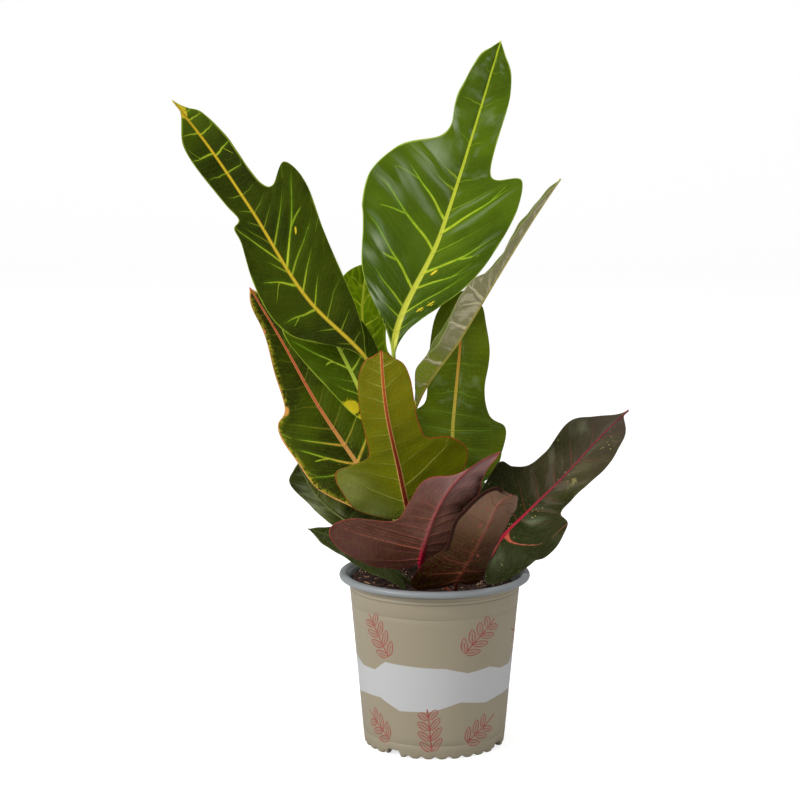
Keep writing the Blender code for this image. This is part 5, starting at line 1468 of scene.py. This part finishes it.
def makeScatterTree():
    # scatters small lumps over the mesh that it is given
    scalar = "NodeSocketFloat"
    tree, given, made = newGroup("scatterBits", "GeometryNodeTree", [
        ("Geometry", "NodeSocketGeometry", None), ("Density", scalar, 1000.0), ("Size", scalar, 0.001),
        ("Stretch", scalar, 1.0), ("Seed", "NodeSocketInt", 0), ("Material", "NodeSocketMaterial", None)],
                                 [("Geometry", "NodeSocketGeometry")])
    spots = put(tree, "GeometryNodeDistributePointsOnFaces", {
        "Mesh": given["Geometry"], "Density": given["Density"], "Seed": given["Seed"]},
                distribute_method="RANDOM")
    lump = put(tree, "GeometryNodeMeshIcoSphere",
               {"Radius": given["Size"], "Subdivisions": 1}).outputs["Mesh"]
    squeeze = put(tree, "FunctionNodeRandomValue", {
        "Min": (0.35, 0.3, 0.25), "Max": (0.8, 0.65, 0.55), "Seed": given["Seed"]}, data_type="FLOAT_VECTOR")
    longer = put(tree, "ShaderNodeCombineXYZ", {0: given["Stretch"], 1: 1.0, 2: 1.0}).outputs[0]
    size = put(tree, "ShaderNodeVectorMath", {0: squeeze.outputs[0], 1: longer},
               operation="MULTIPLY").outputs[0]
    turn = put(tree, "FunctionNodeRandomValue", {
        "Min": (-0.6, -0.6, 0.0), "Max": (0.6, 0.6, 6.283), "Seed": given["Seed"]}, data_type="FLOAT_VECTOR")
    placed = put(tree, "GeometryNodeInstanceOnPoints", {
        "Points": spots.outputs["Points"], "Instance": lump, "Rotation": turn.outputs[0], "Scale": size})
    real = put(tree, "GeometryNodeRealizeInstances", {"Geometry": placed.outputs[0]})
    painted = put(tree, "GeometryNodeSetMaterial",
                  {"Geometry": real.outputs[0], "Material": given["Material"]})
    tree.links.new(painted.outputs[0], made["Geometry"])
    return tree


def scatter(name, bed, density, size, stretch, seed, material):
    source = meshObject(name + "Source", bed[0], bed[1], [material])
    modifier = source.modifiers.new("scatter", "NODES")
    modifier.node_group = scatterTree
    values = {"Density": float(density), "Size": size * mm, "Stretch": stretch, "Seed": seed,
              "Material": material}
    for item in scatterTree.interface.items_tree:
        if item.in_out == "INPUT" and item.name in values:
            modifier[item.identifier] = values[item.name]
    bpy.context.view_layer.update()
    mesh = bpy.data.meshes.new_from_object(source.evaluated_get(bpy.context.evaluated_depsgraph_get()))
    mesh.name = name
    piece = bpy.data.objects.new(name, mesh)
    bpy.context.scene.collection.objects.link(piece)
    bpy.data.objects.remove(source, do_unlink=True)
    mesh.shade_flat()
    return piece


def buildSoil():
    look = soilLook
    segments = look["segments"]
    base = potShape["floorHeight"] + look["gap"]
    top = stemShape["soilTop"]
    hole = stemRadius(top) + look["gap"]
    holeCentre = stemCentre(top)[:2]
    rings = [circle(innerRadius(base) - 2.0, base, segments)]
    rings += [circle(innerRadius(h) - look["gap"], h, segments) for h in (base + 4, top - 4)]
    edge = innerRadius(top) - look["gap"] - 0.3
    bedFrom = len(rings)
    for share in np.linspace(0, 1, look["rings"]):
        ring = circle(1.0, 0.0, segments)
        ring[:, :2] = ring[:, :2] * (edge + (hole - edge) * share) + holeCentre * share
        lumps = 0.8 * waves(ring[:, 0], ring[:, 1], 0.9) * min(1, share * 8)
        ring[:, 2] = soilHeight(ring[:, 0], ring[:, 1]) + lumps
        rings.append(ring)
    bed = np.concatenate(rings[bedFrom + 1:-1]) * mm
    count = look["rings"] - 2
    bedFaces = [(r * segments + s, r * segments + (s + 1) % segments, (r + 1) * segments + (s + 1) % segments,
                 (r + 1) * segments + s) for r in range(count - 1) for s in range(segments)]
    rings.append(circle(hole, top - look["stemHole"], segments, holeCentre))
    points, faces, _ = turned([np.array([[0.0, 0.0, base]]), *rings,
                               np.array([[*holeCentre, top - look["stemHole"]]])], segments)
    piece = meshObject("soil_fine", points * mm, faces,
                       [earthMaterial("soilEarth", look["dark"], look["light"])])
    turnOutward(piece.data)
    addPiece(piece, "soil")
    for name, density, size, stretch, seed, colour in look["bits"]:
        paler = tuple(min(1.0, c * 1.5) for c in colour[:3]) + (1.0,)
        bits = scatter(name, (bed, bedFaces), density, size, stretch, seed,
                       earthMaterial(name, colour, paler, 0.85, 1500.0))
        addPiece(bits, None)


scatterTree = makeScatterTree()
buildSoil()
print("soil done")


# stem

stemLook = {
    "segments": 48, "rows": 190, "bark": tone(112, 98, 74), "barkDark": tone(72, 60, 44),
    "young": tone(110, 124, 60), "youngFrom": 0.17, "youngTo": 0.222,
}


def stemMaterial():
    made, tree, shader = newMaterial("stemBark")
    look = stemLook
    place = objectPlace(tree)
    long = put(tree, "ShaderNodeMapping", {"Vector": place, "Scale": (1.0, 1.0, 0.25)}).outputs[0]
    streak = noise(tree, long, 700.0, 4.0, 0.6)
    colour = blendColour(tree, fade(tree, streak, 0.35, 0.65), look["barkDark"], look["bark"])
    dots = put(tree, "ShaderNodeTexVoronoi", {"Vector": place, "Scale": 380.0}).outputs["Distance"]
    colour = blendColour(tree, fade(tree, dots, 0.1, 0.25, 0.6, 0.0), colour, tone(150, 138, 110))
    height = put(tree, "ShaderNodeSeparateXYZ", {0: place}).outputs[2]
    colour = blendColour(tree, fade(tree, height, look["youngFrom"], look["youngTo"]), colour, look["young"])
    tree.links.new(colour, shader.inputs["Base Color"])
    roughen(tree, shader, streak, 0.7, 0.85)
    emboss(tree, shader, 0.7, 0.0005, streak)
    return made


def buildStem():
    look = stemLook
    segments = look["segments"]
    foot, top = stemShape["axis"][0][2], stemShape["axis"][-1][2]
    rings = []
    angles = np.arange(segments) * 2 * math.pi / segments
    roots = [shape["root"] for shape in leafShapes.values()]
    for height in np.linspace(foot, top, look["rows"]):
        radius = stemRadius(height) * np.ones(segments)
        if height > stemShape["soilTop"]:
            radius -= 0.25 + 0.12 * np.sin(angles * 5 + height * 0.9) * np.sin(height * 0.35)
            for at, degrees in roots:
                turnAway = np.cos(angles - math.radians(degrees))
                near = math.exp(-(((height - at + 2.5) / 2.2) ** 2))
                radius += 0.3 * near * np.clip(turnAway, 0, 1) ** 2
        ring = circle(1.0, height, segments)
        ring[:, :2] = ring[:, :2] * np.minimum(radius, stemRadius(height))[:, None] + stemCentre(height)[:2]
        rings.append(ring)
    tip = stemCentre(top)
    for share, width in ((0.15, 0.97), (0.3, 0.9), (0.5, 0.75), (0.7, 0.55), (0.88, 0.3)):
        rings.append(circle(stemRadius(top) * width * 0.92, top + stemShape["budLength"] * share, segments,
                            tip[:2]))
    points, faces, _ = turned([np.array([stemCentre(foot)]), *rings,
                               np.array([[tip[0], tip[1], top + stemShape["budLength"]]])], segments)
    piece = meshObject("stem_fine", points * mm, faces, [stemMaterial()])
    turnOutward(piece.data)
    addPiece(piece, "stem")


buildStem()
print("stem done")
